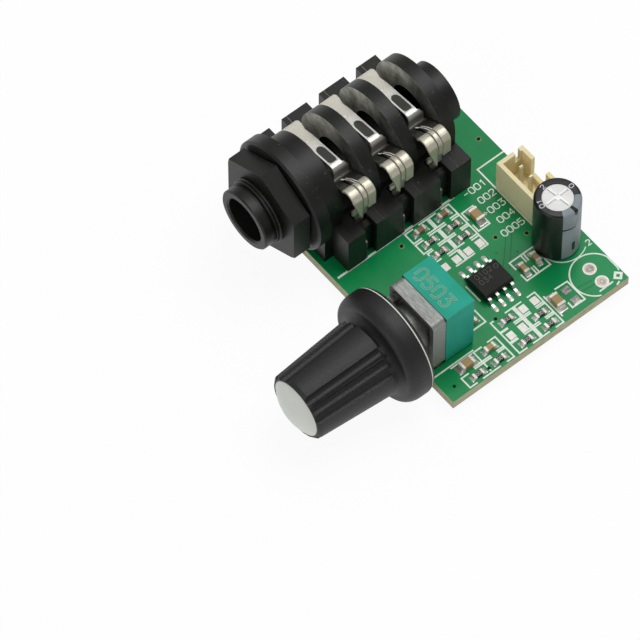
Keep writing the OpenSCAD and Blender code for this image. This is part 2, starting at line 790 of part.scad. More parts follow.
// Aluminium can with its pressed groove and the crossed lines of its vent
module capacitor_can() {
    r = can_r - sleeve_t;
    color("silver") on_board() translate([capacitor_at[0], capacitor_at[1], 0]) difference() {
        rotate_extrude() polygon([
            [0, 1.3], [r - 0.3, 1.3], [r - 0.3, 0.5], [r, 0.5], [r, 1.6], [r - 0.35, 1.95], [r, 2.3],
            [r, can_h - 0.5], [r - 0.4, can_h - sleeve_t], [0, can_h - sleeve_t]
        ]);
        for (a = [8, 92]) {
            translate([0, 0, can_h - sleeve_t]) rotate([0, 0, a])
                cube([2 * sleeve_open_r - 0.5, 0.2, 0.3], center = true);
        }
    }
}

// Shrunk sleeve over the can, folded over its top edge
module capacitor_sleeve() {
    r = can_r - sleeve_t;
    color("dimgray") on_board() translate([capacitor_at[0], capacitor_at[1], 0]) rotate_extrude() polygon([
        [r, 0.4], [can_r, 0.4], [can_r, 1.6], [can_r - 0.35, 1.95], [can_r, 2.3],
        [can_r, can_h - 0.45], [can_r - 0.4, can_h], [sleeve_open_r, can_h],
        [sleeve_open_r, can_h - sleeve_t], [r - 0.4, can_h - sleeve_t], [r, can_h - 0.5],
        [r, 2.3], [r - 0.35, 1.95], [r, 1.6]
    ]);
}

// Rubber bung in the can's open end
module capacitor_bung() {
    r = can_r - sleeve_t - 0.3;
    color("black") on_board() translate([capacitor_at[0], capacitor_at[1], 0]) difference() {
        cylinder(r = r, h = 1.3);
        for (s = [-1, 1]) {
            translate([s * lead_pitch / 2, 0, -over]) cylinder(r = lead_r + 0.02, h = 1.3 + 2 * over);
        }
    }
}

module capacitor_leads() {
    color("lightgray") on_board() for (p = capacitor_tails) {
        translate([p[0], p[1], -board_t - pin_reach]) cylinder(r = lead_r, h = board_t + pin_reach + 1.3);
    }
}

// Moulded chip body with drafted sides and a dent that marks its first lead
module amplifier_body() {
    draft = 0.12;
    stand = 0.12;
    mid = (stand + chip_h) / 2;
    color("dimgray") on_board() translate([chip_at[0], chip_at[1], 0]) difference() {
        intersection() {
            rotate([90, 0, 0]) translate([0, 0, -chip_l]) linear_extrude(2 * chip_l) polygon([
                [-chip_w / 2 + draft, stand], [chip_w / 2 - draft, stand], [chip_w / 2, mid],
                [chip_w / 2 - draft, chip_h], [-chip_w / 2 + draft, chip_h], [-chip_w / 2, mid]
            ]);
            rotate([90, 0, 90]) translate([0, 0, -chip_w]) linear_extrude(2 * chip_w) polygon([
                [-chip_l / 2 + draft, stand], [chip_l / 2 - draft, stand], [chip_l / 2, mid],
                [chip_l / 2 - draft, chip_h], [-chip_l / 2 + draft, chip_h], [-chip_l / 2, mid]
            ]);
        }
        translate([-chip_w / 2 + 0.8, -chip_l / 2 + 0.8, chip_h - 0.08]) cylinder(r = 0.35, h = over);
    }
}

// Eight bent leads, four on each side
module amplifier_leads() {
    side = chip_w / 2;
    reach = chip_span / 2;
    mid = chip_h / 2 + 0.06;
    color("lightgray") on_board() translate([chip_at[0], chip_at[1], 0]) for (s = [-1, 1], i = [0:3]) {
        rotate([0, 0, s < 0 ? 180 : 0]) translate([0, chip_pitch * (i - 1.5), 0])
            strip([[side, mid], [side + 0.4, mid], [reach - 0.65, 0.12], [reach, 0.12]], 0.2, 0.42);
    }
}

// Bodies and ends of the small parts: a body between two metal ends that stand a little proud
module part_bodies(places, l, w, h) {
    proud = 0.04;
    on_board() for (p = places) {
        translate([p[0], p[1], 0]) rotate([0, 0, p[2]]) translate([0, 0, proud])
            block([-l / 2 + end_l, -w / 2 + proud, 0], [l / 2 - end_l, w / 2 - proud, h - 2 * proud]);
    }
}

module part_ends(places, l, w, h) {
    on_board() for (p = places, s = [-1, 1]) {
        translate([p[0], p[1], 0]) rotate([0, 0, p[2]]) translate([s * (l - end_l) / 2, 0, h / 2])
            cube([end_l, w, h], center = true);
    }
}

module resistor_bodies() {
    color("black") part_bodies(resistors, small_l, small_w, resistor_h);
}

module resistor_ends() {
    color("silver") part_ends(resistors, small_l, small_w, resistor_h);
}

module small_capacitor_bodies() {
    color("rosybrown") part_bodies(small_capacitors, small_l, small_w, small_h);
}

module small_capacitor_ends() {
    color("silver") part_ends(small_capacitors, small_l, small_w, small_h);
}

module large_capacitor_bodies() {
    color("rosybrown") part_bodies(large_capacitors, large_l, large_w, large_h);
}

module large_capacitor_ends() {
    color("silver") part_ends(large_capacitors, large_l, large_w, large_h);
}

board();
tinned_pads();
solder_joints();
jack_body();
jack_nut();
sleeve_spring();
ring_spring();
tip_spring();
switch_contacts();
pot_housing();
pot_cover();
pot_element();
pot_terminals();
pot_shaft();
pot_rotor();
pot_wiper();
knob_body();
knob_cap();
header_shroud();
header_pins();
capacitor_can();
capacitor_sleeve();
capacitor_bung();
capacitor_leads();
amplifier_body();
amplifier_leads();
resistor_bodies();
resistor_ends();
small_capacitor_bodies();
small_capacitor_ends();
large_capacitor_bodies();
large_capacitor_ends();
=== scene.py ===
# %% [markdown]
# # A preamplifier board, dressed in Blender
# The solids come from a CAD model that is already at its real size. This notebook gives every solid
# its finish, and adds what is too thin or too fine for solids: the print on the board, the gaps between
# the copper tracks under the green mask, the fillets of solder, the thread on the jack's bush, the small
# forms of the springs, and the film round the capacitor.

import math

import bmesh
import bpy
import numpy as np
from mathutils import Matrix, Vector


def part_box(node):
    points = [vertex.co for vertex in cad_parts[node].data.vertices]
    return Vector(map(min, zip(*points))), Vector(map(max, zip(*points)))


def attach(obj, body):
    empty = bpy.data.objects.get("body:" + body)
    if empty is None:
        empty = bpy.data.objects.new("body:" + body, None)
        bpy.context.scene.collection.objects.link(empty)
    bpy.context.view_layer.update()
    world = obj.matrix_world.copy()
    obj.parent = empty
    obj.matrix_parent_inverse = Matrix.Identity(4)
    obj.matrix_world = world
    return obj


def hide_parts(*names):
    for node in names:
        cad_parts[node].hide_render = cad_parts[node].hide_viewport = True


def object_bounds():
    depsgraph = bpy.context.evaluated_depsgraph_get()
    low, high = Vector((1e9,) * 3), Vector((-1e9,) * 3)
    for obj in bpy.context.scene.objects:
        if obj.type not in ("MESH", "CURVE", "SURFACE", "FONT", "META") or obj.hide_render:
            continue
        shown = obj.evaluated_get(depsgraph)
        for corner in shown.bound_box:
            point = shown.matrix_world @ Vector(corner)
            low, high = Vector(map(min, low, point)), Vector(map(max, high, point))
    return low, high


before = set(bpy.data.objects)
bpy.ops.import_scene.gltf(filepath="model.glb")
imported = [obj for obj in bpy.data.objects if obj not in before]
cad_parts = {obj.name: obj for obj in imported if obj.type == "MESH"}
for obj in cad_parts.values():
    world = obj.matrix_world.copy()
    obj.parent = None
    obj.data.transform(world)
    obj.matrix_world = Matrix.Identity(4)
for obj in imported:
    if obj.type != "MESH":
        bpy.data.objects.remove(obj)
cad_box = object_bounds()
MM = 0.001

# %% [markdown]
# ## Measuring the frame
# Places on the board are given in millimetres from its left front corner, as a board designer gives
# them. They could be given in metres of the scene, but then each would have to be worked out again when
# the frame moves. The corner and the level of the top come from the board's own box instead.

# %% Places on the board
board_low, board_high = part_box("board")
CORNER = np.array([board_low.x, board_low.y, board_high.z])


def on_board(x, y, z=0.0):
    """A place in metres: millimetres right of, behind and above the board's left front top corner."""
    return CORNER + np.array([x, y, z]) * MM


print("board:", [round(side / MM, 2) for side in board_high - board_low], "mm")

# %% [markdown]
# ## Colours and nodes
# A material is a small net of shader nodes. It could be drawn by hand in the editor, but a net that is
# written down can be read and changed one value at a time. A hex colour is what a screen shows, and the
# shader wants linear light, so one function turns one into the other. Another adds a node with its links.

# %% Colours and nodes


def linear(hex_colour):
    """sRGB hex to linear red, green, blue and alpha: the standard curve with its straight foot."""
    parts = np.array([int(hex_colour[i : i + 2], 16) / 255 for i in (1, 3, 5)])
    light = np.where(parts <= 0.04045, parts / 12.92, ((parts + 0.055) / 1.055) ** 2.4)
    return (*light.tolist(), 1.0)


def join(material, socket, value):
    """Links another node's output to a socket, or sets the socket to a plain value."""
    if isinstance(value, bpy.types.NodeSocket):
        material.node_tree.links.new(value, socket)
    else:
        socket.default_value = value


def add(material, kind, inputs=None, **settings):
    """Adds a shader node: settings are its own choices, inputs are values or other nodes' outputs."""
    node = material.node_tree.nodes.new("ShaderNode" + kind)
    for name, value in settings.items():
        setattr(node, name, value)
    for name, value in (inputs or {}).items():
        join(material, node.inputs[name], value)
    return node


def blank(name):
    """A new material with one node, which gives the place of each point in metres."""
    material = bpy.data.materials.new(name)
    material.use_nodes = True
    material.node_tree.nodes.clear()
    return material, add(material, "TexCoord").outputs["Object"]


def close(material, shader):
    """Joins the last shader to the material's output."""
    add(material, "OutputMaterial", {"Surface": shader})
    return material


print("middle grey in linear light:", round(linear("#808080")[0], 3))

# %% [markdown]
# ## The camera
# The photograph looks down on the board from its front right corner, through a long lens. The lens is
# long enough that parallel edges stay nearly parallel. A camera could be turned by eye until the edges
# agree, but two angles, a distance and a scale can be measured and then refined one at a time. The target
# is the point of the board's plane that lands in the middle of the picture.

# %% Camera
CAMERA_AZIMUTH = math.radians(50.52)
CAMERA_ELEVATION = math.radians(58.44)
CAMERA_DISTANCE = 975.1 * MM
PIXELS_PER_MM = 7.663
PICTURE_PIXELS = 640
SENSOR_MM = 36.0
camera_target = Vector(on_board(23.374, -5.39))

sight = Vector((
    -math.sin(CAMERA_AZIMUTH) * math.cos(CAMERA_ELEVATION),
    math.cos(CAMERA_AZIMUTH) * math.cos(CAMERA_ELEVATION),
    -math.sin(CAMERA_ELEVATION),
))
rightward = Vector((math.cos(CAMERA_AZIMUTH), math.sin(CAMERA_AZIMUTH), 0.0))
upward = rightward.cross(sight)

camera_data = bpy.data.cameras.new("camera")
camera_data.sensor_width = SENSOR_MM
camera_data.lens = PIXELS_PER_MM * CAMERA_DISTANCE / MM / PICTURE_PIXELS * SENSOR_MM
camera_data.clip_start = 0.05
camera_data.clip_end = 10.0
camera = bpy.data.objects.new("camera", camera_data)
turn = Matrix((rightward, upward, -sight)).transposed().to_4x4()
camera.matrix_world = Matrix.Translation(camera_target - sight * CAMERA_DISTANCE) @ turn
bpy.context.scene.collection.objects.link(camera)
bpy.context.scene.camera = camera
print("lens:", round(camera_data.lens, 1), "mm")

# %% [markdown]
# ## The floor
# The object lies on white paper that burns out to plain white. Plain paper would need so much light that
# the board burns out too. So the paper glows by itself to the camera and to mirrors, for most of its
# white, and takes the last part from real light, which keeps the soft shadow.

# %% Floor
FLOOR_SIZE = 1.6
FLOOR_GLOW = 0.93


def largest(material, values):
    """The largest of several values."""
    result = values[0]
    for value in values[1:]:
        result = add(material, "Math", {0: result, 1: value}, operation="MAXIMUM").outputs[0]
    return result


def product(material, first, second):
    """Two values multiplied."""
    return add(material, "Math", {0: first, 1: second}, operation="MULTIPLY").outputs[0]


bpy.ops.mesh.primitive_plane_add(size=FLOOR_SIZE, location=(0, 0, cad_box[0][2]))
floor = bpy.context.object
floor.name = "floor"
paper, _ = blank("white_paper")
paper_light = add(paper, "BsdfDiffuse", {"Color": linear("#fbfbfa")}).outputs["BSDF"]
paper_glow = add(paper, "Emission", {"Color": (1, 1, 1, 1), "Strength": 1.0}).outputs["Emission"]
rays = add(paper, "LightPath").outputs
seen = largest(paper, [rays["Is Glossy Ray"], rays["Is Transmission Ray"], rays["Is Camera Ray"]])
share = product(paper, seen, FLOOR_GLOW)
close(paper, add(paper, "MixShader", {0: share, 1: paper_light, 2: paper_glow}).outputs[0])
floor.data.materials.append(paper)
print("floor level:", round(cad_box[0][2] / MM, 2), "mm")

# %% [markdown]
# ## The light
# A product photograph of this kind is lit from all round, with one large soft lamp above and behind that
# puts sheen on the upper edges. White surroundings alone would give flat faces, and lamps alone black
# shadows. So the surroundings give about half of the light on an upright face, and the lamps the rest.

# %% Sky and lamps
SKY_STRENGTH = 0.35

world = bpy.data.worlds.new("studio")
world.use_nodes = True
bpy.context.scene.world = world
sky = world.node_tree.nodes["Background"]
sky.inputs["Color"].default_value = (1, 1, 1, 1)
sky.inputs["Strength"].default_value = SKY_STRENGTH


def lamp(name, azimuth, elevation, distance, size, power):
    """A round area lamp aimed at the board from an azimuth and elevation in degrees."""
    data = bpy.data.lights.new(name, "AREA")
    data.shape = "DISK"
    data.size = size
    data.energy = power
    light = bpy.data.objects.new(name, data)
    a, e = math.radians(azimuth), math.radians(elevation)
    away = Vector((math.sin(a) * math.cos(e), -math.cos(a) * math.cos(e), math.sin(e)))
    light.location = camera_target + away * distance
    light.rotation_euler = away.to_track_quat("Z", "Y").to_euler()
    bpy.context.scene.collection.objects.link(light)
    print(name + ":", power, "W from", azimuth, "degrees")


lamp("back_lamp", azimuth=178, elevation=70, distance=0.5, size=0.34, power=1.2)
lamp("left_lamp", azimuth=-128, elevation=58, distance=0.6, size=0.44, power=0.3)
lamp("front_lamp", azimuth=10, elevation=30, distance=0.7, size=0.5, power=1.0)
bpy.context.scene.view_settings.view_transform = "Standard"

# %% [markdown]
# ## Patterns for finishes
# No real finish is quite even. Photographs of finishes could be wrapped on, but noise that is worked out
# from the place needs no picture and has no seam. The sizes of its lumps are given in millimetres, so a
# grain stays a grain on every piece.

# %% Noise, ranges and mixes


def noise(material, place, size_mm, detail=3.0, roughness=0.5):
    """Noise whose lumps are about size_mm across: the texture's scale counts lumps in a metre."""
    inputs = {"Vector": place, "Scale": 1 / (size_mm * MM), "Detail": detail, "Roughness": roughness}
    return add(material, "TexNoise", inputs).outputs["Fac"]


def spread(material, value, low, high, to_low=0.0, to_high=1.0):
    """Maps a value from one range to another and clips it."""
    inputs = {"Value": value, "From Min": low, "From Max": high, "To Min": to_low, "To Max": to_high}
    return add(material, "MapRange", inputs).outputs["Result"]


def patches(material, value, to_low=0.0, to_high=1.0):
    """Noise seldom leaves its middle, so the part from 0.35 to 0.65 is spread over the whole range."""
    return spread(material, value, 0.35, 0.65, to_low, to_high)


def blend(material, factor, first, second):
    """Mixes two colours, given as hex or as another node's colour.

    The Mix node repeats its sockets for each kind of data, so those for colours are found by number.
    """
    first = linear(first) if isinstance(first, str) else first
    second = linear(second) if isinstance(second, str) else second
    node = add(material, "Mix", data_type="RGBA")
    for number, value in ((0, factor), (6, first), (7, second)):
        join(material, node.inputs[number], value)
    return node.outputs[2]


def bump(material, height, depth_mm, strength=1.0):
    """Bump from a height between 0 and 1 that stands for depth_mm."""
    inputs = {"Height": height, "Distance": depth_mm * MM, "Strength": strength}
    return add(material, "Bump", inputs).outputs["Normal"]


def surface(material, colour, roughness, **inputs):
    """Ends a material with the standard shader. An underscore in a name stands for a space."""
    values = {name.replace("_", " "): value for name, value in inputs.items()}
    shader = add(material, "BsdfPrincipled", {"Base Color": colour, "Roughness": roughness, **values})
    return close(material, shader.outputs["BSDF"])


def paint(nodes, material):
    """Gives CAD nodes a material in every slot."""
    for name in nodes:
        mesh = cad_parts[name].data
        mesh.materials.clear()
        mesh.materials.append(material)
    print(material.name, "on", ", ".join(nodes))


print("noise with lumps of 1 mm has a scale of", 1 / MM)

# %% [markdown]
# ## The board
# The board is glass cloth in epoxy resin, with a liquid green mask cured on both faces. The sawn edge has
# no mask and shows the layers of the cloth. The faces could get two materials, but the CAD mesh is left
# alone, so one material looks at the height of each place: near the top or the bottom it is mask.

# %% Laminate and mask
MASK_T = 0.04
LAYERS_PER_LUMP = 14.0


def laminate():
    """Green mask above and below, and between them lumps of noise pressed flat into thin layers."""
    material, place = blank("glass_epoxy_with_green_mask")
    z = add(material, "SeparateXYZ", {"Vector": place}).outputs["Z"]
    top = board_high.z - MASK_T * MM
    bottom = board_low.z + MASK_T * MM
    above = add(material, "Math", {0: z, 1: top}, operation="GREATER_THAN").outputs[0]
    below = add(material, "Math", {0: z, 1: bottom}, operation="LESS_THAN").outputs[0]
    masked = largest(material, [above, below])
    cloud = noise(material, place, size_mm=6.0, detail=2.0)
    mask = blend(material, patches(material, cloud), "#0b8549", "#128e51")
    pressed = add(material, "Mapping", {"Vector": place, "Scale": (1.0, 1.0, LAYERS_PER_LUMP)})
    cloth = noise(material, pressed.outputs["Vector"], size_mm=1.6, detail=3.0)
    edge = blend(material, patches(material, cloth), "#a3a080", "#c9c4a6")
    colour = blend(material, masked, edge, mask)
    rough = spread(material, masked, 0.0, 1.0, to_low=0.75, to_high=0.2)
    skin = noise(material, place, size_mm=0.25, detail=2.0)
    return surface(material, colour, rough, IOR=1.5, Specular_IOR_Level=0.3,
                   Normal=bump(material, skin, depth_mm=0.01, strength=0.3))


paint(["board"], laminate())

# %% [markdown]
# ## Plated and bare metals
# The leads are tinned, the pins are tinned brass, and the can is drawn aluminium. They differ in tone and
# gloss, but all are worked strip or wire with a tone that changes in soft patches and a fine grain that
# breaks up the mirror. One function with those values makes them all.

# %% Metals


def metal(name, hex_colour, darker, rough, grain, depth, metallic=1.0):
    """Two near tones in patches eight grains wide, and a grain in millimetres that is depth deep."""
    material, place = blank(name)
    tone = patches(material, noise(material, place, size_mm=grain * 8, detail=2.0))
    lumps = noise(material, place, size_mm=grain, detail=3.0)
    gloss = spread(material, lumps, 0.3, 0.7, to_low=rough * 0.85, to_high=rough * 1.15)
    return surface(material, blend(material, tone, hex_colour, darker), gloss,
                   Metallic=metallic, Normal=bump(material, lumps, depth))


paint(["solder_joints"],
      metal("bright_solder", "#e2e2df", "#c9c9c5", rough=0.25, grain=0.3, depth=0.004, metallic=0.7))
paint(["pot_terminals", "capacitor_leads", "amplifier_leads"],
      metal("tinned_copper_alloy", "#e4e4e2", "#cfcfcd", rough=0.22, grain=0.2, depth=0.003))
paint(["header_pins"],
      metal("tinned_brass_pins", "#e6e2cc", "#d6d1b8", rough=0.35, grain=0.2, depth=0.003, metallic=0.3))
paint(["resistor_ends", "small_capacitor_ends", "large_capacitor_ends"],
      metal("tin_over_nickel_ends", "#e2dfd6", "#c9c4b8", rough=0.4, grain=0.12, depth=0.006, metallic=0.3))
paint(["pot_shaft"],
      metal("turned_aluminium", "#c9cacc", "#b8b9bb", rough=0.3, grain=0.2, depth=0.003))
paint(["pot_wiper"],
      metal("phosphor_bronze", "#c9a765", "#b8924f", rough=0.3, grain=0.2, depth=0.003))
paint(["capacitor_can"],
      metal("drawn_aluminium", "#e9e9e7", "#e0e0de", rough=0.55, grain=0.3, depth=0.004, metallic=0.1))

# %% [markdown]
# ## The free pads
# Free pads are copper levelled with tin, nearly white, and two of these kept flux and look grey. All pads
# are one node, and its mesh could be cut up for two materials, but it is left alone. So one material finds
# the two grey pads by their places.

# %% Levelled tin
GREY_PADS = [(40.2, 22.3, 0.7), (41.95, 22.3, 0.7)]


def near(material, value, level, reach):
    """1 where a value lies within reach of a level, otherwise 0."""
    return add(material, "Math", {0: value, 1: level, 2: reach}, operation="COMPARE").outputs[0]


def levelled_tin(name, dull):
    """Tin, near white. Each place in dull is an x, a y and a reach, inside which the tin is grey."""
    material, place = blank(name)
    axes = add(material, "SeparateXYZ", {"Vector": place}).outputs
    spots = []
    for x, y, reach in dull:
        across = near(material, axes["X"], on_board(x, 0)[0], reach * MM)
        spots.append(product(material, across, near(material, axes["Y"], on_board(0, y)[1], reach * MM)))
    cloud = patches(material, noise(material, place, size_mm=0.4, detail=2.0))
    flux = blend(material, cloud, "#5f6365", "#b5aba4")
    tin = blend(material, cloud, "#efebe3", "#e0dbd2")
    colour = blend(material, largest(material, spots), tin, flux)
    return surface(material, colour, roughness=0.4, Metallic=0.1)


paint(["tinned_pads"], levelled_tin("levelled_tin", GREY_PADS))

# %% [markdown]
# ## The springs
# The springs are stamped from bronze strip and nickel-plated. The root stays as it was plated, matt and
# cream. The arm and the rolled end are rubbed bright, and the steep walls of the vee mirror the dark body.
# A plain mirror would show this studio instead of that one, so that reflection is painted into the colour,
# which follows the place along the spring as a row of stops: painted shade on the wall that falls into the
# vee and a painted reflection of the dark body on the wall that rises out of it. Stamping rounds the
# strip's edges a little. A Bevel modifier would change the CAD mesh, so a bevel node bends only the shading
# there.

# %% Springs
SPRING_FROM, SPRING_TO = 3, 19
ROOT_ENDS, ARM_STARTS = 0.27, 0.36
SPECK_SHARE = 0.18
ROUNDING = 0.3


def ramp(material, value, stops):
    """Colour by a value between 0 and 1: stops are pairs of a place and a hex colour, in order."""
    node = add(material, "ValToRGB", {"Fac": value})
    band = node.color_ramp
    while len(band.elements) < len(stops):
        band.elements.new(0.5)
    for element, (place, hex_colour) in zip(band.elements, stops):
        element.position = place
        element.color = linear(hex_colour)
    return node.outputs["Color"]


def along_spring(name):
    """Plated bronze whose colour and gloss follow the place along the jack's width, with painted shade and
    a painted reflection in the vee.
    """
    material, place = blank(name)
    x = add(material, "SeparateXYZ", {"Vector": place}).outputs["X"]
    way = spread(material, x, on_board(SPRING_FROM, 0)[0], on_board(SPRING_TO, 0)[0])
    # The stops from 0.645 to 0.815 are painted light: grey painted shade on the vee's falling wall and a
    # near black painted reflection of the body on its rising wall.
    colour = ramp(material, way, [
        (0.0, "#dcd8ca"), (0.27, "#dfdccf"), (0.33, "#eceae2"), (0.625, "#f0efe9"), (0.645, "#8f8e88"),
        (0.672, "#7b7a74"), (0.69, "#2b2b28"), (0.815, "#383834"), (0.832, "#d8d4c3"), (1.0, "#c2bda9"),
    ])
    speck = spread(material, noise(material, place, size_mm=0.12, detail=2.0), 0.4, 0.6)
    colour = blend(material, product(material, speck, SPECK_SHARE), colour, "#6f6a58")
    rough = spread(material, way, ROOT_ENDS, ARM_STARTS, to_low=0.6, to_high=0.34)
    metallic = spread(material, way, ROOT_ENDS, ARM_STARTS, to_low=0.15, to_high=0.4)
    rounded = add(material, "Bevel", {"Radius": ROUNDING * MM}, samples=6).outputs["Normal"]
    return surface(material, colour, rough, Metallic=metallic, Normal=rounded)


paint(["sleeve_spring", "ring_spring", "tip_spring"], along_spring("nickel_plated_spring_bronze_painted_vee"))

# %% [markdown]
# ## The switch contacts
# The switch contacts are the same plated strip, but stand in the slots of the body, where little light
# reaches their feet. The render darkens them too little, because its slots are open to more light, so
# painted shade darkens the plating towards the foot.

# %% Switch contacts
CONTACT_FOOT, CONTACT_HEAD = 2.6, 4.6


def shaded_contact(name):
    """Plated bronze whose colour and gloss follow the height: painted shade, dark at the foot and bright at
    the head.
    """
    material, place = blank(name)
    z = add(material, "SeparateXYZ", {"Vector": place}).outputs["Z"]
    way = spread(material, z, on_board(0, 0, CONTACT_FOOT)[2], on_board(0, 0, CONTACT_HEAD)[2])
    colour = ramp(material, way, [(0.0, "#2b2b27"), (0.55, "#55544c"), (1.0, "#cfcbbd")])
    metallic = spread(material, way, 0.3, 1.0, to_low=0.2, to_high=0.8)
    return surface(material, colour, roughness=0.35, Metallic=metallic)


paint(["switch_contacts"], shaded_contact("switch_bronze_painted_shade"))

# %% [markdown]
# ## The pot's housing
# The housing is cast in zinc and brushed along its width. An anisotropic shader could smear its mirror,
# but the marks themselves can be seen at this size, so noise is drawn out along the brush's way.

# %% Brushed zinc
BRUSH_STRETCH = 0.12


def brushed(name, hex_colour, darker):
    """Cast zinc with brush marks along X: noise drawn out about eight times in that direction."""
    material, place = blank(name)
    drawn = add(material, "Mapping", {"Vector": place, "Scale": (BRUSH_STRETCH, 1.0, 1.0)})
    marks = noise(material, drawn.outputs["Vector"], size_mm=0.12, detail=3.0)
    colour = blend(material, patches(material, marks), hex_colour, darker)
    normal = bump(material, marks, depth_mm=0.01)
    return surface(material, colour, roughness=0.5, Metallic=0.45, Normal=normal)


paint(["pot_housing"], brushed("die_cast_zinc", "#a3a5a1", "#7b7d79"))

# %% [markdown]
# ## Plastics, rubber and ceramics
# Moulded and fired parts take their skin from the mould or the press. Each could have a material drawn
# for itself, but they differ only in colour, gloss and grain, so one function makes them. The cream nylon
# of the header lets light into it, so its shader gets a little scattering as well.

# %% Moulded and fired parts


def moulded(name, hex_colour, darker, rough, grain=0.15, depth=0.008, sheen=0.3):
    """Slight clouding of the colour, and a skin with a grain in millimetres that is depth deep."""
    material, place = blank(name)
    cloud = patches(material, noise(material, place, size_mm=4.0, detail=3.0))
    colour = blend(material, cloud, hex_colour, darker)
    lumps = noise(material, place, size_mm=grain, detail=3.0)
    gloss = spread(material, lumps, 0.3, 0.7, to_low=rough * 0.9, to_high=rough * 1.1)
    return surface(material, colour, gloss, IOR=1.5, Specular_IOR_Level=sheen,
                   Normal=bump(material, lumps, depth))


paint(["jack_nut"], moulded("black_nylon_nut", "#181916", "#141512", rough=0.45, sheen=0.28))
paint(["pot_element"], moulded("phenolic_paper", "#6d4a2c", "#5c3c22", rough=0.6))
paint(["pot_rotor"], moulded("white_acetal", "#dcdcd4", "#d0d0c8", rough=0.45))
paint(["knob_cap"], moulded("grey_abs", "#d8dbd4", "#d3d6cf", rough=0.4))
paint(["capacitor_bung"], moulded("black_rubber", "#1c1c1c", "#161616", rough=0.8))
paint(["amplifier_body"],
      moulded("black_epoxy", "#2a2a26", "#232320", rough=0.65, grain=0.1, depth=0.01, sheen=0.2))
paint(["resistor_bodies"], moulded("black_glaze", "#1f1f1f", "#171717", rough=0.3))
paint(["large_capacitor_bodies"], moulded("tan_titanate_ceramic", "#ae9264", "#a2865a", rough=0.5))
film = moulded("black_shrink_film", "#151a19", "#0e1211", rough=0.33, grain=1.2, depth=0.03, sheen=0.4)
paint(["capacitor_sleeve"], film)
cream = moulded("cream_nylon", "#f0e4bc", "#e8daab", rough=0.45)
scatter = next(node for node in cream.node_tree.nodes if node.type == "BSDF_PRINCIPLED").inputs
scatter["Subsurface Weight"].default_value = 0.3
scatter["Subsurface Radius"].default_value = (1.0, 0.8, 0.4)
scatter["Subsurface Scale"].default_value = 0.6 * MM
paint(["header_shroud"], cream)

# %% [markdown]
# ## The jack's body
# Black nylon is rubbed pale and dusty where fingers and packing touch it, and here that is the front of
# each rib. These faces look to the front, where this studio gives less light than the real one, so their
# lightening is partly wear and partly painted light. The wear could be painted on by hand, but the CAD mesh
# has no map to paint on, so the material finds the ribs' faces by their depth and lets the lightening fade
# to the right.

# %% Rubbed nylon with painted light
RIB_FACES = (8.25, 14.6, 20.95)
RIB_REACH = 0.015
PALEST_X, DARKEST_X = 7.6, 11.6


def rubbed_and_lit_nylon(name, planes):
    """Black nylon whose upright faces at the given depths (board Y) are a lighter, dusty grey: partly
    rubbed wear and partly painted light.

    The lightening is strongest on the left, fades to the right and comes in soft patches.
    """
    material, place = blank(name)
    axes = add(material, "SeparateXYZ", {"Vector": place}).outputs
    faces = [near(material, axes["Y"], on_board(0, y)[1], RIB_REACH * MM) for y in planes]
    cloud = noise(material, place, size_mm=1.6, detail=4.0, roughness=0.6)
    darkest, palest = on_board(DARKEST_X, 0)[0], on_board(PALEST_X, 0)[0]
    left = spread(material, axes["X"], darkest, palest, to_low=0.16)
    patch = product(material, patches(material, cloud, to_low=0.35), left)
    # The ribs' front faces turn lighter: partly wear, and partly painted light for the fill light that
    # those faces lack.
    rubbed_and_lit = product(material, largest(material, faces), patch)
    base = blend(material, patches(material, cloud), "#191a17", "#151613")
    grains = noise(material, place, size_mm=0.35, detail=1.0)
    base = blend(material, spread(material, grains, 0.72, 0.76, to_high=0.35), base, "#6d706c")
    skin = noise(material, place, size_mm=0.15, detail=3.0)
    return surface(material, blend(material, rubbed_and_lit, base, "#d0cfc2"), roughness=0.42,
                   IOR=1.5, Specular_IOR_Level=0.32, Normal=bump(material, skin, depth_mm=0.008))


nylon = rubbed_and_lit_nylon("black_nylon", RIB_FACES)
paint(["jack_body"], nylon)

# %% [markdown]
# ## Painted shade at the seam and a painted highlight on the rim
# The pot's green cover is painted dark along the seam where it meets the housing, as painted shade in the
# gap between the two parts, and the knob has a painted highlight, a pale line round its rear rim. Thin
# pieces could stand for both lines, but they have no thickness of their own, so the materials draw them at
# one depth.

# %% Seam shade and rim highlight
SEAM_Y, SEAM_REACH = 3.0, 0.12
RIM_HIGHLIGHT_Y, RIM_HIGHLIGHT_REACH = -2.12, 0.09
RIM_HIGHLIGHT_SHARE = 0.8


def seam_shaded(name, hex_colour, darker):
    """Moulded polyester with painted shade along the seam against the housing."""
    material, place = blank(name)
    y = add(material, "SeparateXYZ", {"Vector": place}).outputs["Y"]
    seam_shade = near(material, y, on_board(0, SEAM_Y)[1], SEAM_REACH * MM)
    cloud = patches(material, noise(material, place, size_mm=3.0, detail=3.0))
    colour = blend(material, seam_shade, blend(material, cloud, hex_colour, darker), "#143c33")
    return surface(material, colour, roughness=0.5, IOR=1.5, Specular_IOR_Level=0.2)


def rim_highlighted(name):
    """Black ABS with the grain of a spark-eroded mould, and a painted highlight, a pale line round the rear
    rim.
    """
    material, place = blank(name)
    y = add(material, "SeparateXYZ", {"Vector": place}).outputs["Y"]
    rim_highlight = near(material, y, on_board(0, RIM_HIGHLIGHT_Y)[1], RIM_HIGHLIGHT_REACH * MM)
    grain = noise(material, place, size_mm=0.16, detail=2.0)
    base = blend(material, patches(material, grain), "#0d0e0d", "#1c1d1c")
    colour = blend(material, product(material, rim_highlight, RIM_HIGHLIGHT_SHARE), base, "#f2f0e8")
    return surface(material, colour, roughness=0.5, IOR=1.5, Specular_IOR_Level=0.45,
                   Normal=bump(material, grain, depth_mm=0.03))


paint(["pot_cover"], seam_shaded("green_polyester", "#1fa58e", "#1a9d86"))
paint(["knob_body"], rim_highlighted("black_abs"))

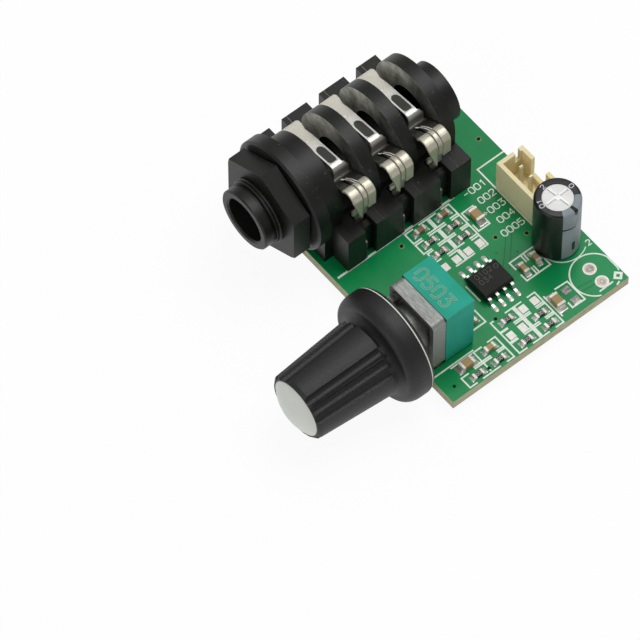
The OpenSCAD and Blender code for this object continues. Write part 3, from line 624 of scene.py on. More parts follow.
# %% [markdown]
# ## The small capacitors
# The small capacitors are fired ceramic of two makes, a brown one on the left half of the board and a tan
# one on the right. They too are one node, so again the place decides which colour a part has.

# %% Two ceramics
MAKES_MEET_X, MEET_REACH = 33, 0.5


def two_ceramics(name, left, right):
    """Fired ceramic in one colour left of the place where the makes meet, and in another right of it."""
    material, place = blank(name)
    across = add(material, "SeparateXYZ", {"Vector": place}).outputs["X"]
    split = on_board(MAKES_MEET_X, 0)[0]
    side = spread(material, across, split - MEET_REACH * MM, split + MEET_REACH * MM)
    skin = noise(material, place, size_mm=0.15, detail=3.0)
    return surface(material, blend(material, side, left, right), roughness=0.5, Specular_IOR_Level=0.3,
                   Normal=bump(material, skin, depth_mm=0.008))


paint(["small_capacitor_bodies"], two_ceramics("fired_titanate_ceramic", "#8d7056", "#ab9066"))

# %% [markdown]
# ## Pieces made as lofts
# The print, the solder and the rings are too thin for the solids. Curves with a bevel could draw some of
# them and spun profiles others. But all of them are one kind of surface, a closed outline carried along a
# path, so the outlines are worked out as arrays and one function turns any number of them into a mesh.

# %% Loft helper
BOARD_BODY = "board_assembly"
SHARP_ANGLE = math.radians(35)


def piece(name, lofts, material, smooth=False):
    """One object from lofts. A loft is an array (stations, points, 3) in board millimetres.

    Point j of station i joins point j of station i + 1, and the last point of a station joins its first.
    The two end stations are closed with flat faces, unless the loft is marked as a loop.
    """
    points, faces, start = [], [], 0
    for loft in lofts:
        rings, loop = loft if isinstance(loft, tuple) else (loft, False)
        count, around = rings.shape[:2]
        index = np.arange(count * around).reshape(count, around) + start
        after = np.roll(index, -1, axis=0) if loop else index[1:]
        here = index if loop else index[:-1]
        quads = np.stack([here, np.roll(here, -1, 1), np.roll(after, -1, 1), after], -1).reshape(-1, 4)
        faces += quads.tolist()
        if not loop:
            faces += [index[0, ::-1].tolist(), index[-1].tolist()]
        points.append(CORNER + rings.reshape(-1, 3) * MM)
        start += count * around
    mesh = bpy.data.meshes.new(name)
    mesh.from_pydata(np.concatenate(points).tolist(), [], faces)
    shape = bmesh.new()
    shape.from_mesh(mesh)
    bmesh.ops.recalc_face_normals(shape, faces=shape.faces)
    shape.to_mesh(mesh)
    shape.free()
    if smooth:
        mesh.polygons.foreach_set("use_smooth", [True] * len(mesh.polygons))
        mesh.set_sharp_from_angle(angle=SHARP_ANGLE)
    mesh.materials.append(material)
    made = bpy.data.objects.new(name, mesh)
    bpy.context.scene.collection.objects.link(made)
    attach(made, BOARD_BODY)
    print(name + ":", len(mesh.vertices), "points")
    return made


print("smooth pieces stay sharp at edges over", round(math.degrees(SHARP_ANGLE)), "degrees")

# %% [markdown]
# ## Bands and turned forms
# Printed lines and turned forms come back in nearly every step below. A band is a low trapezium that
# follows a line, and a turned form is a profile that goes round an upright axis.

# %% Outlines to carry
SHARPEST = 0.35
BAND_FOOT, BAND_TOP = 0.5, 0.42


def ribbon(line, width, low=-0.01, high=0.02, loop=False):
    """A flat band along a line on the board.

    Each corner lies on the bisector of its two stretches, half a width out, divided by the cosine of half
    the turn, so the band keeps its width. At sharp turns the divisor stops at SHARPEST, so that no corner
    shoots out. The outline is a low trapezium from low to high.
    """
    line = np.asarray(line, dtype=float)
    flat = line[:, :2]
    beyond = flat[-1:] * 2 - flat[-2:-1]
    ahead = np.roll(flat, -1, 0) - flat if loop else np.diff(flat, axis=0, append=beyond)
    ahead /= np.linalg.norm(ahead, axis=1, keepdims=True)
    before = np.roll(ahead, 1, 0)
    if not loop:
        before[0] = ahead[0]
    side_a = np.stack([-before[:, 1], before[:, 0]], 1)
    side_b = np.stack([-ahead[:, 1], ahead[:, 0]], 1)
    out = (side_a + side_b) / np.maximum(1 + (side_a * side_b).sum(1, keepdims=True), SHARPEST)
    across = np.array([-BAND_FOOT, -BAND_TOP, BAND_TOP, BAND_FOOT]) * width
    level = np.array([low, high, high, low])
    base = line[:, 2] if line.shape[1] == 3 else np.zeros(len(line))
    rings = np.empty((len(line), 4, 3))
    rings[:, :, :2] = flat[:, None] + out[:, None] * across[None, :, None]
    rings[:, :, 2] = base[:, None] + level[None]
    return rings, loop


def raised(line, level):
    """A flat line lifted to one height."""
    return np.hstack([line, np.full((len(line), 1), level)])


def turned(centre, profile, count=28):
    """A profile of (radius, height) turned about an upright axis at centre."""
    angle = np.linspace(0, 2 * np.pi, count, endpoint=False)
    radius, height = np.asarray(profile, dtype=float).T
    rings = np.empty((len(radius), count, 3))
    rings[..., 0] = centre[0] + radius[:, None] * np.cos(angle)
    rings[..., 1] = centre[1] + radius[:, None] * np.sin(angle)
    rings[..., 2] = height[:, None]
    return rings


def circle(centre, radius, start=0.0, end=360.0, count=48):
    """Points of an arc, from start to end degrees: the centre plus radius times cosine and sine."""
    angle = np.radians(np.linspace(start, end, count, endpoint=abs(end - start) < 360))
    return np.stack([centre[0] + radius * np.cos(angle), centre[1] + radius * np.sin(angle)], 1)


print("a ring of 1 mm has", len(circle((0, 0), 1.0)), "points")

# %% [markdown]
# ## Numbers drawn with strokes
# Board print is drawn by a round tool, so its figures are single strokes of one width. A text object
# would bring a font with thick and thin stems, so each figure here is a few short lines in a box one unit
# high, and the bands above give them their width.

# %% Stroke figures
STROKES = {
    "0": [[
        (0.15, 0), (0.45, 0), (0.6, 0.2), (0.6, 0.8), (0.45, 1), (0.15, 1), (0, 0.8), (0, 0.2), (0.15, 0),
    ]],
    "1": [[(0.1, 0.78), (0.34, 1), (0.34, 0)]],
    "2": [[(0, 0.8), (0.12, 1), (0.46, 1), (0.6, 0.82), (0.58, 0.6), (0, 0), (0.6, 0)]],
    "3": [[
        (0, 1), (0.58, 1), (0.26, 0.6), (0.45, 0.6), (0.6, 0.42), (0.6, 0.18), (0.45, 0), (0.12, 0),
        (0, 0.16),
    ]],
    "4": [[(0.46, 0), (0.46, 1), (0, 0.32), (0.62, 0.32)]],
    "5": [[
        (0.56, 1), (0.06, 1), (0.02, 0.57), (0.42, 0.6), (0.6, 0.44), (0.6, 0.17), (0.44, 0), (0.1, 0),
        (0, 0.14),
    ]],
    "-": [[(0.04, 0.5), (0.56, 0.5)]],
    "+": [[(0.04, 0.5), (0.56, 0.5)], [(0.3, 0.22), (0.3, 0.78)]],
}
STROKE_BOX_W = 0.6


def figures(text, start, along, height, pitch, width=STROKE_BOX_W):
    """Lines of a text: its start in millimetres, the direction it runs in and the height of a figure.

    The upward direction is along turned a quarter to the left.
    """
    along = np.asarray(along, dtype=float)
    up = np.array([-along[1], along[0]])
    lines = []
    for place, mark in enumerate(text):
        for stroke in STROKES[mark]:
            stroke = np.asarray(stroke, dtype=float)
            right = place * pitch + stroke[:, :1] / STROKE_BOX_W * width
            lines.append(np.asarray(start) + right * along + stroke[:, 1:] * height * up)
    return lines


def open_line(line):
    """A line and whether it is closed. A closed line loses its last point, which repeats its first."""
    closed = np.allclose(line[0], line[-1])
    return (line[:-1] if closed else line), closed


def raised_figure(line, level, width, high):
    """One stroke of a figure as a thin band on a face at a level."""
    line, closed = open_line(line)
    return ribbon(raised(line, level), width, -0.01, high, closed)


print("figures:", " ".join(STROKES))

# %% [markdown]
# ## The print
# White ink is screened on the cured mask as a layer about 0.02 mm thick. It marks where each small part
# sits: brackets round its ends, and a bar between two rows. A picture on the board could carry it all, but
# real bands keep sharp edges however near the camera comes. Each bracket is a line with an arm at each
# end, so a small function draws it.

# %% White ink
PRINT_W, BAR_W = 0.25, 0.6


def ink(name, hex_colour, darker):
    """Screened epoxy ink: slightly matt, and not quite even, so some of the mask shows through."""
    material, place = blank(name)
    thin = spread(material, noise(material, place, size_mm=0.5, detail=3.0), 0.3, 0.7)
    return surface(material, blend(material, thin, hex_colour, darker), roughness=0.55, IOR=1.5)


def bracket(x0, x1, end, reach):
    """A line across from x0 to x1 at y = end, with an arm to y = reach at both ends."""
    return [(x0, reach), (x0, end), (x1, end), (x1, reach)]


def arm(x, y0, y1):
    """A line at x, from y0 to y1."""
    return [(x, y0), (x, y1)]


print("printed lines are", PRINT_W, "mm wide, bars", BAR_W, "mm")

# %% [markdown]
# The small parts stand in three blocks: left of the amplifier, right of it, and in the front corner. The
# lines could be computed from the parts' boxes, but the print's own artwork is looser than the parts, so
# they are listed, and only those that repeat at one height are made in a row.

# %% Lines round the small parts
left_block = [
    bracket(20.32, 22.16, 11.57, 12.95), bracket(22.5, 24.22, 11.57, 12.95),
    bracket(24.52, 26.2, 11.97, 12.95),
]
left_block += [arm(x, 13.9, 16.85) for x in (20.32, 22.16, 22.5, 24.22, 24.52, 26.2)]
left_block += [arm(26.55, 13.9, 15.5), arm(28.36, 13.6, 16.85), bracket(20.32, 28.36, 19.07, 17.75)]
left_block += [arm(x, 19.07, 17.75) for x in (22.16, 22.5, 24.22, 24.52, 26.2, 26.55)]
left_block += [
    [(23.97, 19.45), (22.55, 19.45), (22.55, 21.38), (23.12, 21.38)],
    [(24.95, 21.33), (26.05, 21.33), (26.05, 19.44), (24.81, 19.44)],
]
right_block = [
    [(37.92, 11.98), (37.92, 11.45), (39.83, 11.45), (39.83, 12.75)],
    bracket(39.96, 41.8, 11.45, 12.75), bracket(42.0, 43.8, 11.43, 12.78),
    arm(37.92, 13.9, 16.7), arm(39.76, 13.8, 16.6), arm(40.04, 13.8, 16.6),
    arm(41.74, 13.75, 16.6), arm(42.04, 13.75, 16.6), arm(43.78, 13.75, 16.6),
    [(37.92, 17.65), (37.92, 18.97), (43.8, 18.97), (43.8, 17.62)],
    arm(39.74, 18.97, 17.55), arm(40.02, 18.97, 17.55), arm(41.74, 18.97, 17.5), arm(42.02, 18.97, 17.5),
    [(39.15, 19.46), (43.07, 19.46)],
    [(39.27, 21.27), (39.37, 23.35), (42.92, 23.4), (42.87, 21.3), (41.91, 21.33)],
]
front_block = [
    arm(39.6, 0.12, 7.08), arm(39.92, 2.95, 6.62), arm(39.92, 7.0, 8.25),
    [(39.86, 9.21), (39.86, 10.58), (43.75, 10.58), (43.75, 9.33)],
    arm(41.66, 10.58, 9.3), arm(41.94, 10.58, 9.3), arm(41.66, 5.38, 8.3), arm(41.94, 5.38, 8.3),
    bracket(41.94, 43.74, 3.1, 4.35), arm(43.73, 5.28, 8.3),
    [(39.78, 6.85), (43.5, 6.85)],
]
bars = [(20.32, 22.16, 15.45), (22.5, 24.22, 15.48), (24.52, 26.2, 15.48), (26.55, 28.36, 15.45),
        (37.92, 43.8, 15.3)]
print("printed lines:", len(left_block) + len(right_block) + len(front_block), "and", len(bars), "bars")

# %% [markdown]
# The rest of the print is lines before and beside the amplifier, the box behind the jack, the bracket
# round the large capacitor, the plain numbers of the header's terminals, and the rings of the capacitor
# and of its spare place. Where two printed lines cross, their tops would lie in one plane and the render
# would flicker between them, so the lines take turns at seven heights within the ink's own thickness.

# %% The print as one piece
HEADER_TERMINALS = ["-001", "002", "+003", "004", "0005"]
TERMINAL_PITCH = 1.955
TERMINALS_END = 25.3
FIGURE_PITCH = 0.95
INK_LOW, INK_STEP, INK_HEIGHTS = 0.016, 0.001, 7
BAR_HIGH = 0.0145
JACK_LINE, JACK_LINE_W = [(19.9, 0.5), (19.9, 20.3)], 0.34
FIGURE_W, DIAMOND_W, SPARE_RING_W, CAN_RING_W = 0.17, 0.38, 0.22, 0.16
BACK_RIGHT_LIMIT = (43.84, 29.86)

lines = left_block + [
    [(31.5, 12.62), (34.5, 12.62)],
    [(35.0, 11.13), (37.3, 11.13), (37.3, 9.0)],
] + right_block + front_block + [
    [(18.6, 30.0), (18.6, 25.5), (30.5, 25.5)],
    [(43.25, 25.62), (43.2, 27.98)], [(43.9, 28.05), (43.7, 28.68)],
    [(33.79, 19.35), (32.42, 19.33), (32.43, 23.37), (35.97, 23.37), (35.95, 19.36), (34.71, 19.35)],
    [(32.42, 21.22), (33.7, 21.2)], [(32.42, 21.66), (33.7, 21.6)],
    [(35.96, 21.5), (34.68, 21.5)], [(35.96, 21.08), (34.7, 21.12)],
]
labels = []
for row, text in enumerate(HEADER_TERMINALS):
    first = TERMINALS_END - FIGURE_PITCH * len(text)
    start = (21.08 + TERMINAL_PITCH * row, first)
    labels += figures(text, start, (0, 1), height=0.95, pitch=FIGURE_PITCH, width=0.7)
labels += figures("2", (36.95, 29.15), (0, 1), height=0.8, pitch=0.9, width=0.55)
diamond = np.array([(0.0, -0.58), (0.56, 0.0), (0.0, 0.58), (-0.56, 0.0)]) + (42.9, 29.1)
spare_ring = np.minimum(circle((40.85, 26.77), 3.28, 63, 336), BACK_RIGHT_LIMIT)
can_ring = circle((34.1, 26.8), 3.33, -175, 35)
print_parts = [
    ribbon(line, PRINT_W, high=INK_LOW + INK_STEP * (k % INK_HEIGHTS)) for k, line in enumerate(lines)
]
print_parts += [ribbon([(x0, y), (x1, y)], BAR_W, high=BAR_HIGH) for x0, x1, y in bars]
print_parts += [ribbon(JACK_LINE, JACK_LINE_W)] + [ribbon(line, FIGURE_W) for line in labels]
print_parts += [ribbon(diamond, DIAMOND_W, loop=True)]
print_parts += [ribbon(spare_ring, SPARE_RING_W), ribbon(can_ring, CAN_RING_W)]
piece("white_print", print_parts, ink("white_epoxy_ink", "#f4f6ee", "#dfe9dc"))

# %% [markdown]
# ## Holes
# A plated hole has a ring of bare tinned copper round it, and looks black inside, because little light
# comes out of it. The CAD board has the holes, but the white floor of this studio would shine up through
# them. Black paper under the board would stop that for this camera alone, so a dark core closes each hole,
# and a ring stands a hair above the mask. Two holes lie in the print and have no ring.

# %% Rings and wells
RINGED, BARE, IN_PRINT = "ringed", "bare", "in the print"
HOLES = [
    ((21.4, 10.1), RINGED), ((28.2, 20.5), RINGED), ((30.3, 24.1), RINGED), ((37.8, 12.4), IN_PRINT),
    ((43.0, 6.9), IN_PRINT), ((42.25, 1.65), BARE), ((15, 28.7), RINGED),
]
RING_PROFILE = [
    (0.3, -0.05), (0.3, 0.02), (0.31, 0.03), (0.37, 0.025), (0.4, 0.0), (0.4, -0.02), (0.32, -0.05),
]
WELL_PROFILE = [(0.1, -0.3), (0.298, -0.3), (0.298, 0.0), (0.1, -0.01)]
WELL_IN_PRINT = [(0.1, -0.3), (0.23, -0.3), (0.23, 0.035), (0.1, 0.035)]


def hoop(centre, profile, count=32):
    """A closed profile of (radius, height) carried once round an upright axis, as a closed hoop."""
    return np.swapaxes(turned(centre, profile, count), 0, 1), True


piece("hole_rings", [hoop(place, RING_PROFILE) for place, kind in HOLES if kind == RINGED],
      metal("tinned_copper_ring", "#8d9a68", "#7d8a58", rough=0.45, grain=0.1, depth=0.003, metallic=0.2))
wells = [turned(place, WELL_IN_PRINT if kind == IN_PRINT else WELL_PROFILE) for place, kind in HOLES]
piece("hole_wells", wells, moulded("shadowed_barrel", "#0b0c0a", "#070806", rough=0.8))

# %% [markdown]
# ## Gaps between the tracks
# Under the mask the gaps beside the copper tracks are darker, because light goes into the laminate there
# and doesn't come back. Holes that the mask covers show as small dark dimples. Both could be a pattern in
# the mask's material, but thin bands are easier to put exactly where they belong.

# %% Gaps and covered holes
COVERED_HOLES = [(30.16, 18.99), (31.75, 21.29), (31.86, 24.0)]
TRACK_GAPS = [
    [(29.08, 21.54), (32.32, 18.37)], [(28.08, 22.97), (29.09, 22.57), (33.04, 18.84)],
    [(40.96, 23.64), (41.27, 25.93)], [(41.8, 23.85), (41.99, 25.98)],
]
GAP_W, GAP_HIGH = 0.16, 0.004
DIMPLE_PROFILE = [(0.2, -0.01), (0.17, GAP_HIGH), (0.02, GAP_HIGH)]

gaps = [ribbon(line, GAP_W, high=GAP_HIGH) for line in TRACK_GAPS]
gaps += [turned(place, DIMPLE_PROFILE, count=16) for place in COVERED_HOLES]
piece("track_gaps", gaps,
      moulded("mask_over_laminate", "#0c6a3c", "#0a6036", rough=0.25, grain=0.25, depth=0.004))

# %% [markdown]
# ## Measuring separate solids
# Many CAD nodes hold several solids, such as all the ends of the resistors. Their places could be typed
# in again, but then they could go wrong, so they are read off the mesh.

# %% Boxes of separate solids


def solid_boxes(node):
    """Low and high corners of each separate solid in a node, in board millimetres.

    Vertices at one place are one point. Each point starts with its own label, and points that share an
    edge take the lower label until nothing changes, so each solid ends with one label.
    """
    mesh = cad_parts[node].data
    places = np.empty(len(mesh.vertices) * 3)
    mesh.vertices.foreach_get("co", places)
    places = places.reshape(-1, 3)
    points, same = np.unique(np.round(places, 7), axis=0, return_inverse=True)
    edges = np.empty(len(mesh.edges) * 2, dtype=np.int64)
    mesh.edges.foreach_get("vertices", edges)
    edges = same.ravel()[edges].reshape(-1, 2)
    label = np.arange(len(points))
    while True:
        lower = label.copy()
        shared = np.minimum(label[edges[:, 0]], label[edges[:, 1]])
        np.minimum.at(lower, edges[:, 0], shared)
        np.minimum.at(lower, edges[:, 1], shared)
        lower = lower[lower]
        if np.array_equal(lower, label):
            break
        label = lower
    boxes = []
    for value in np.unique(label):
        own = (points[label == value] - CORNER) / MM
        boxes.append((own.min(axis=0), own.max(axis=0)))
    return boxes


resistors = solid_boxes("resistor_bodies")
print("resistors:", len(resistors))

# %% [markdown]
# ## Solder on the small parts
# Each end of a small part stands on a pad, and solder climbs its face in a hollow curve. A sphere cut out
# of a block would come near, but the real surface is a curve that can be written down: the height falls
# as a power of the way out, so it is steep at the part and flat at the pad's edge.

# %% Fillets
HOLLOW = 2.2
CLIMBS = 0.6
NARROWS = 0.12
PAD_TOP, PAD_FILM, SPILL, INTO_PART, INTO_BOARD = 0.045, 0.05, 0.06, 0.03, 0.01


def fillet(low, high, outward, axis, length, rise):
    """Solder from an end's outer face out along an axis.

    The way runs from 0 at the part to 1 at the pad's edge. Height = PAD_TOP + rise x (1 - way) to the
    power HOLLOW, lowered towards both sides by the fourth power. Half width = half the end and SPILL more,
    narrowed by NARROWS times the sixth power of the way.
    """
    way = np.linspace(0, 1, 9)
    side = np.linspace(-1, 1, 9)
    other = 1 - axis
    half = (high[other] - low[other]) / 2 + SPILL
    middle = (high[other] + low[other]) / 2
    face = high[axis] if outward > 0 else low[axis]
    narrow = half * (1 - NARROWS * way**6)
    rings = np.empty((len(way), len(side) + 2, 3))
    rings[:, :, axis] = (face + outward * (length * way - INTO_PART))[:, None]
    rings[:, :-2, other] = middle + side * narrow[:, None]
    rings[:, -2, other] = middle + narrow
    rings[:, -1, other] = middle - narrow
    swell = rise * (1 - way) ** HOLLOW + PAD_FILM * (1 - way**4)
    rings[:, :-2, 2] = PAD_TOP + swell[:, None] * (1 - side**4)
    rings[:, -2:, 2] = -INTO_BOARD
    return rings


fillets = []
for kind, length in (("resistor", 0.5), ("small_capacitor", 0.5), ("large_capacitor", 0.62)):
    middles = np.array([(low + high) / 2 for low, high in solid_boxes(kind + "_bodies")])
    for low, high in solid_boxes(kind + "_ends"):
        away = (low + high) / 2 - middles
        nearest = away[np.argmin(np.hypot(away[:, 0], away[:, 1]))]
        axis = int(abs(nearest[1]) > abs(nearest[0]))
        rise = (high[2] - low[2]) * CLIMBS
        fillets.append(fillet(low, high, np.sign(nearest[axis]), axis, length, rise))
piece("part_solder", fillets,
      metal("reflowed_solder", "#efede7", "#a9a59b", rough=0.25, grain=0.16, depth=0.02, metallic=0.55))

# %% [markdown]
# ## Solder on the amplifier's leads
# Solder rises over the foot of each gull-wing lead and runs out flat in front of it, in a drop with a
# round end. Metaballs could melt such drops together, but each stands alone, so a half round outline that
# swells and shrinks along the lead is enough.

# %% Feet
chip_low, chip_high = [(np.array(corner) - CORNER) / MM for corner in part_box("amplifier_body")]
chip_middle = (chip_low + chip_high) / 2


def foot(low, high):
    """Solder over the foot of one lead, on the side of the chip that the lead is on.

    Half width = 0.36, widening a little outwards, times a round end: the root of 1 - (way / 0.66) to the
    fourth. Height = a bell of 0.17 about the heel, over a flat 0.05.
    """
    outward = 1 if (low[0] + high[0]) / 2 > chip_middle[0] else -1
    tip = high[0] if outward > 0 else low[0]
    way = np.linspace(-0.5, 0.62, 12)
    round_end = np.sqrt(np.clip(1 - (way / 0.66) ** 4, 0.02, 1))
    half = (0.36 + 0.05 * way) * round_end
    top = 0.05 + (0.17 * np.exp(-((way - 0.05) / 0.28) ** 2) + 0.05) * round_end
    side = np.linspace(0, np.pi, 9)
    rings = np.empty((len(way), len(side), 3))
    rings[..., 0] = (tip + outward * way)[:, None]
    rings[..., 1] = (low[1] + high[1]) / 2 + np.cos(side) * half[:, None]
    rings[..., 2] = np.sin(side) * top[:, None] - 0.005
    return rings


piece("lead_solder", [foot(low, high) for low, high in solid_boxes("amplifier_leads")],
      metal("lead_solder_finish", "#f2f0ea", "#b5b0a4", rough=0.28, grain=0.2, depth=0.01, metallic=0.45))

# %% [markdown]
# ## The spare pads
# Two pads wait for another capacitor. Solder has filled their holes and sunk a little in the middle, and
# flux has dried in rings round them. A turned profile gives the sunken drop, and low rings the flux.

# %% Plugs and stains
SPARE_PADS = [(39.8, 26.85), (42.3, 26.85)]
PLUG_PROFILE = [
    (0.7, 0.03), (0.66, 0.09), (0.55, 0.12), (0.42, 0.09), (0.3, 0.07), (0.16, 0.1), (0.05, 0.12),
]
STAINS = [(SPARE_PADS[0], 0.3), (SPARE_PADS[0], 0.47), (SPARE_PADS[1], 0.3)]
STAIN_LEVEL, STAIN_W, STAIN_POINTS = 0.11, 0.07, 32

piece("pad_stains", [
    ribbon(raised(circle(place, radius, count=STAIN_POINTS), STAIN_LEVEL), STAIN_W, -0.04, 0.012, loop=True)
    for place, radius in STAINS
], moulded("flux_residue", "#a89c8e", "#978878", rough=0.5))
piece("pad_plugs", [turned(place, PLUG_PROFILE) for place in SPARE_PADS],
      metal("filled_hole_solder", "#d9d2c6", "#bdb4a6", rough=0.45, grain=0.14, depth=0.01, metallic=0.1))

# %% [markdown]
# ## The thread on the bush
# The bush has a fine thread for its nut. A stack of rings would look alike from afar, and the Screw
# modifier could spin the real form. But a thread is one ridge that climbs as it goes round, so here a
# small triangular outline is carried along a helix, and fades into the bush at both ends.

# %% Helical ridge
THREAD_PITCH, THREAD_HIGH = 0.5, 0.13
THREAD_FROM, THREAD_TO = -5.2, -4.2
FADES_OVER = 12
BUSH_RADIUS = 4.74
JACK_AXIS = (9.9, 9.5)
RIDGE = np.array([(-0.2, -0.03), (-0.02, 1.0), (0.02, 1.0), (0.2, -0.03)])

# The way runs from 0 to 1. The angle grows with it, and so does the place along the axis. The ridge's
# height grows from nothing over the first twelfth of the way and falls again over the last.
turns = (THREAD_TO - THREAD_FROM) / THREAD_PITCH
step = np.linspace(0, 1, int(turns * 64))
angle = 2 * np.pi * turns * step
height = THREAD_HIGH * np.minimum(1, np.minimum(step, 1 - step) * FADES_OVER)
radius = BUSH_RADIUS + RIDGE[:, 1] * height[:, None]
thread = np.empty((len(step), len(RIDGE), 3))
thread[..., 0] = JACK_AXIS[0] + radius * np.cos(angle)[:, None]
thread[..., 1] = (THREAD_FROM + (THREAD_TO - THREAD_FROM) * step)[:, None] + RIDGE[:, 0]
thread[..., 2] = JACK_AXIS[1] + radius * np.sin(angle)[:, None]
piece("bush_thread", [thread], nylon)

# %% [markdown]
# ## The number on the pot
# A plain number is stamped on the green cover, and the stamp prints only the outline of each stroke. A
# text object could be outlined too, but the strokes above are already there, so the ink runs round each
# of them at a small distance.

# %% Outlined number
POT_TOP = 10.5
STAMP_HALF, STAMP_LINE_W = 0.13, 0.09


def stroke_outline(line, half):
    """The closed outline of a stroke: its two sides, half a width out, joined at the ends."""
    rings, _ = ribbon(line, half * 2)
    return np.concatenate([rings[:, 0, :2], rings[::-1, 3, :2]])


marks = []
for line in figures("0503", (30.75, 4.0), (1, 0), height=2.0, pitch=1.72, width=1.15):
    outline = stroke_outline(open_line(line)[0], STAMP_HALF)
    marks.append(ribbon(raised(outline, POT_TOP), STAMP_LINE_W, high=0.012, loop=True))
piece("pot_number", marks, ink("tan_stamp_ink", "#9aa583", "#86a488"))

# %% [markdown]
# ## Marks on the resistors
# A resistor of this size carries tiny grey figures across its dark glaze, here plain noughts. They could
# be left to a texture, but the same strokes make them in a few lines.

# %% Resistor marks
tiny = []
for low, high in resistors:
    middle = (low + high) / 2
    along = (0, 1) if high[1] - low[1] > high[0] - low[0] else (1, 0)
    across = np.array([-along[1], along[0]])
    for shift in (-0.32, 0.06):
        start = middle[:2] + np.array(along) * shift - across * 0.22
        noughts = figures("0", start, along, height=0.44, pitch=0.4, width=0.26)
        tiny += [raised_figure(line, high[2], width=0.09, high=0.01) for line in noughts]
piece("resistor_marks", tiny, ink("grey_mark_ink", "#b9b8ae", "#9a998f"))

# %% [markdown]
# ## Marks on the amplifier
# A laser leaves plain figures on the chip, hardly lighter than the epoxy, and a round mark at the first
# terminal. They could be cut into the epoxy, but a laser only fades it, so they are thin strokes on top.

# %% Amplifier marks
faint = []
for row, text in enumerate(["0102", "034"]):
    start = (chip_middle[0] - 0.75 + row * 1.0, chip_middle[1] - 1.6)
    strokes = figures(text, start, (0, 1), height=0.7, pitch=0.72, width=0.45)
    faint += [raised_figure(line, chip_high[2], width=0.09, high=0.004) for line in strokes]
first_terminal = circle((chip_middle[0] - 0.95, chip_middle[1] + 1.75), 0.3, count=24)
faint.append(ribbon(raised(first_terminal, chip_high[2]), 0.1, high=0.004, loop=True))
piece("amplifier_marks", faint, ink("laser_mark", "#4c4c47", "#42423e"))

# %% [markdown]
# ## The springs' small forms
# A window is punched in each arm, and through it the dark body shows. The strip's rolled edges catch the
# light as two thin lines, and a round dimple beside the root sets the arm's height. Windows could be cut
# with a boolean, but the CAD mesh is left alone, so a grey plate fills each window at the arm's level:
# painted shade, standing for the dark body seen through it. The edges, the window's rim, the dimple and the
# rolled end are drawn as white bands, painted highlights. The height of the arm's top is read off its
# profile, so everything lies on the metal.

# %% Places on a spring
SPRING_PROFILE = np.array([
    (-3.4, 3.05), (-1.3, 3.3), (0.9, 3.65), (2.6, 3.9), (3.0, 3.85), (3.3, 3.2), (3.45, 1.65), (3.85, 1.8),
    (5.6, 3.0), (6.32, 3.22),
])
STRIP_HALF = 0.15


def on_spring(x, across, gap, lift=0.0):
    """A place on a spring's top: x from the jack's axis, across from the spring's centre line.

    The height is read off the profile between its two nearest points, plus half the strip.
    """
    height = np.interp(x, SPRING_PROFILE[:, 0], SPRING_PROFILE[:, 1])
    return JACK_AXIS[0] + x, gap + across, JACK_AXIS[1] + height + STRIP_HALF + lift


spring_gaps = [np.mean([corner[1] for box in solid_boxes(node) for corner in box])
               for node in ("sleeve_spring", "ring_spring", "tip_spring")]
print("springs lie at", [round(float(gap), 2) for gap in spring_gaps], "mm")

# %% [markdown]
# With a place on each spring, the window is a loft of five stations across the arm, and every rim and edge
# is a narrow band of painted highlight. The bands at the rolled end are three, because it is rolled round
# and open.

# %% Windows, rims and dimples
WINDOW = ((-0.95, 0.2), (-0.66, 0.5), (-0.2, 0.62), (1.9, 0.64), (2.35, 0.56))
WINDOW_OUTLINE = np.array([(-1, -0.02), (1, -0.02), (1, 0.015), (-1, 0.015)])
ARM_RIM_XS = (-2.2, -1.3, 0.9, 2.6, 2.95)
ARM_RIM_AT, ARM_RIM_W, WINDOW_RIM_W = 0.8, 0.13, 0.07
WINDOW_RIM = ((-0.6, -0.72), (1.9, -0.74), (2.5, -0.3))
DIMPLE_AT = (-2.5, -0.48)
DIMPLE = ((0.2, -0.03), (0.17, 0.05), (0.1, 0.08), (0.03, 0.09))
END_EDGES = (
    ([(4.6, 0.2), (5.5, 0.46), (6.3, 0.68)], 0.1), ([(4.5, -0.1), (5.5, 0.14), (6.3, 0.34)], 0.1),
    ([(4.2, -0.36), (4.6, -0.2)], 0.22),
)

windows, rims, dimples, edges = [], [], [], []
for gap in spring_gaps:
    stations = []
    for x, half in WINDOW:
        middle = np.array(on_spring(x, 0, gap))
        stations.append([middle + (0, side * half, z) for side, z in WINDOW_OUTLINE])
    windows.append(np.array(stations))
    rim_lines = [([(x, side) for x in ARM_RIM_XS], ARM_RIM_W) for side in (-ARM_RIM_AT, ARM_RIM_AT)]
    for line, width in rim_lines + [(WINDOW_RIM, WINDOW_RIM_W)]:
        rims.append(ribbon([on_spring(x, y, gap) for x, y in line], width, low=-0.02, high=0.015))
    x, y, z = on_spring(*DIMPLE_AT, gap)
    dimples.append(turned((x, y), [(radius, z + lift) for radius, lift in DIMPLE], count=16))
    for line, width in END_EDGES:
        edges.append(ribbon([on_spring(x, y, gap, 0.04) for x, y in line], width, low=-0.04, high=0.05))
# The grey plates are painted shade, standing for the dark body seen through the windows.
piece("spring_windows", windows,
      moulded("window_painted_shade", "#4b4c47", "#3b3c38", rough=0.6, grain=0.1, depth=0.01))
# The near white bands and dimples are painted highlights on the strip's edges.
piece("spring_rims", rims + dimples + edges,
      metal("painted_highlight_on_edges", "#f8f7f3", "#efeee8", rough=0.35, grain=0.2, depth=0.002, metallic=0.1))

# %% [markdown]
# ## The capacitor's sleeve
# The can wears a shrink film that folds over its shoulder. A cylinder with a bevel would do for the
# outside, but stripe and figures have to lie on the film later. So its profile is written down once, is
# turned into the film here, and serves as their path in the next steps. It takes the place of the CAD
# node, which has a groove that the real film hides.

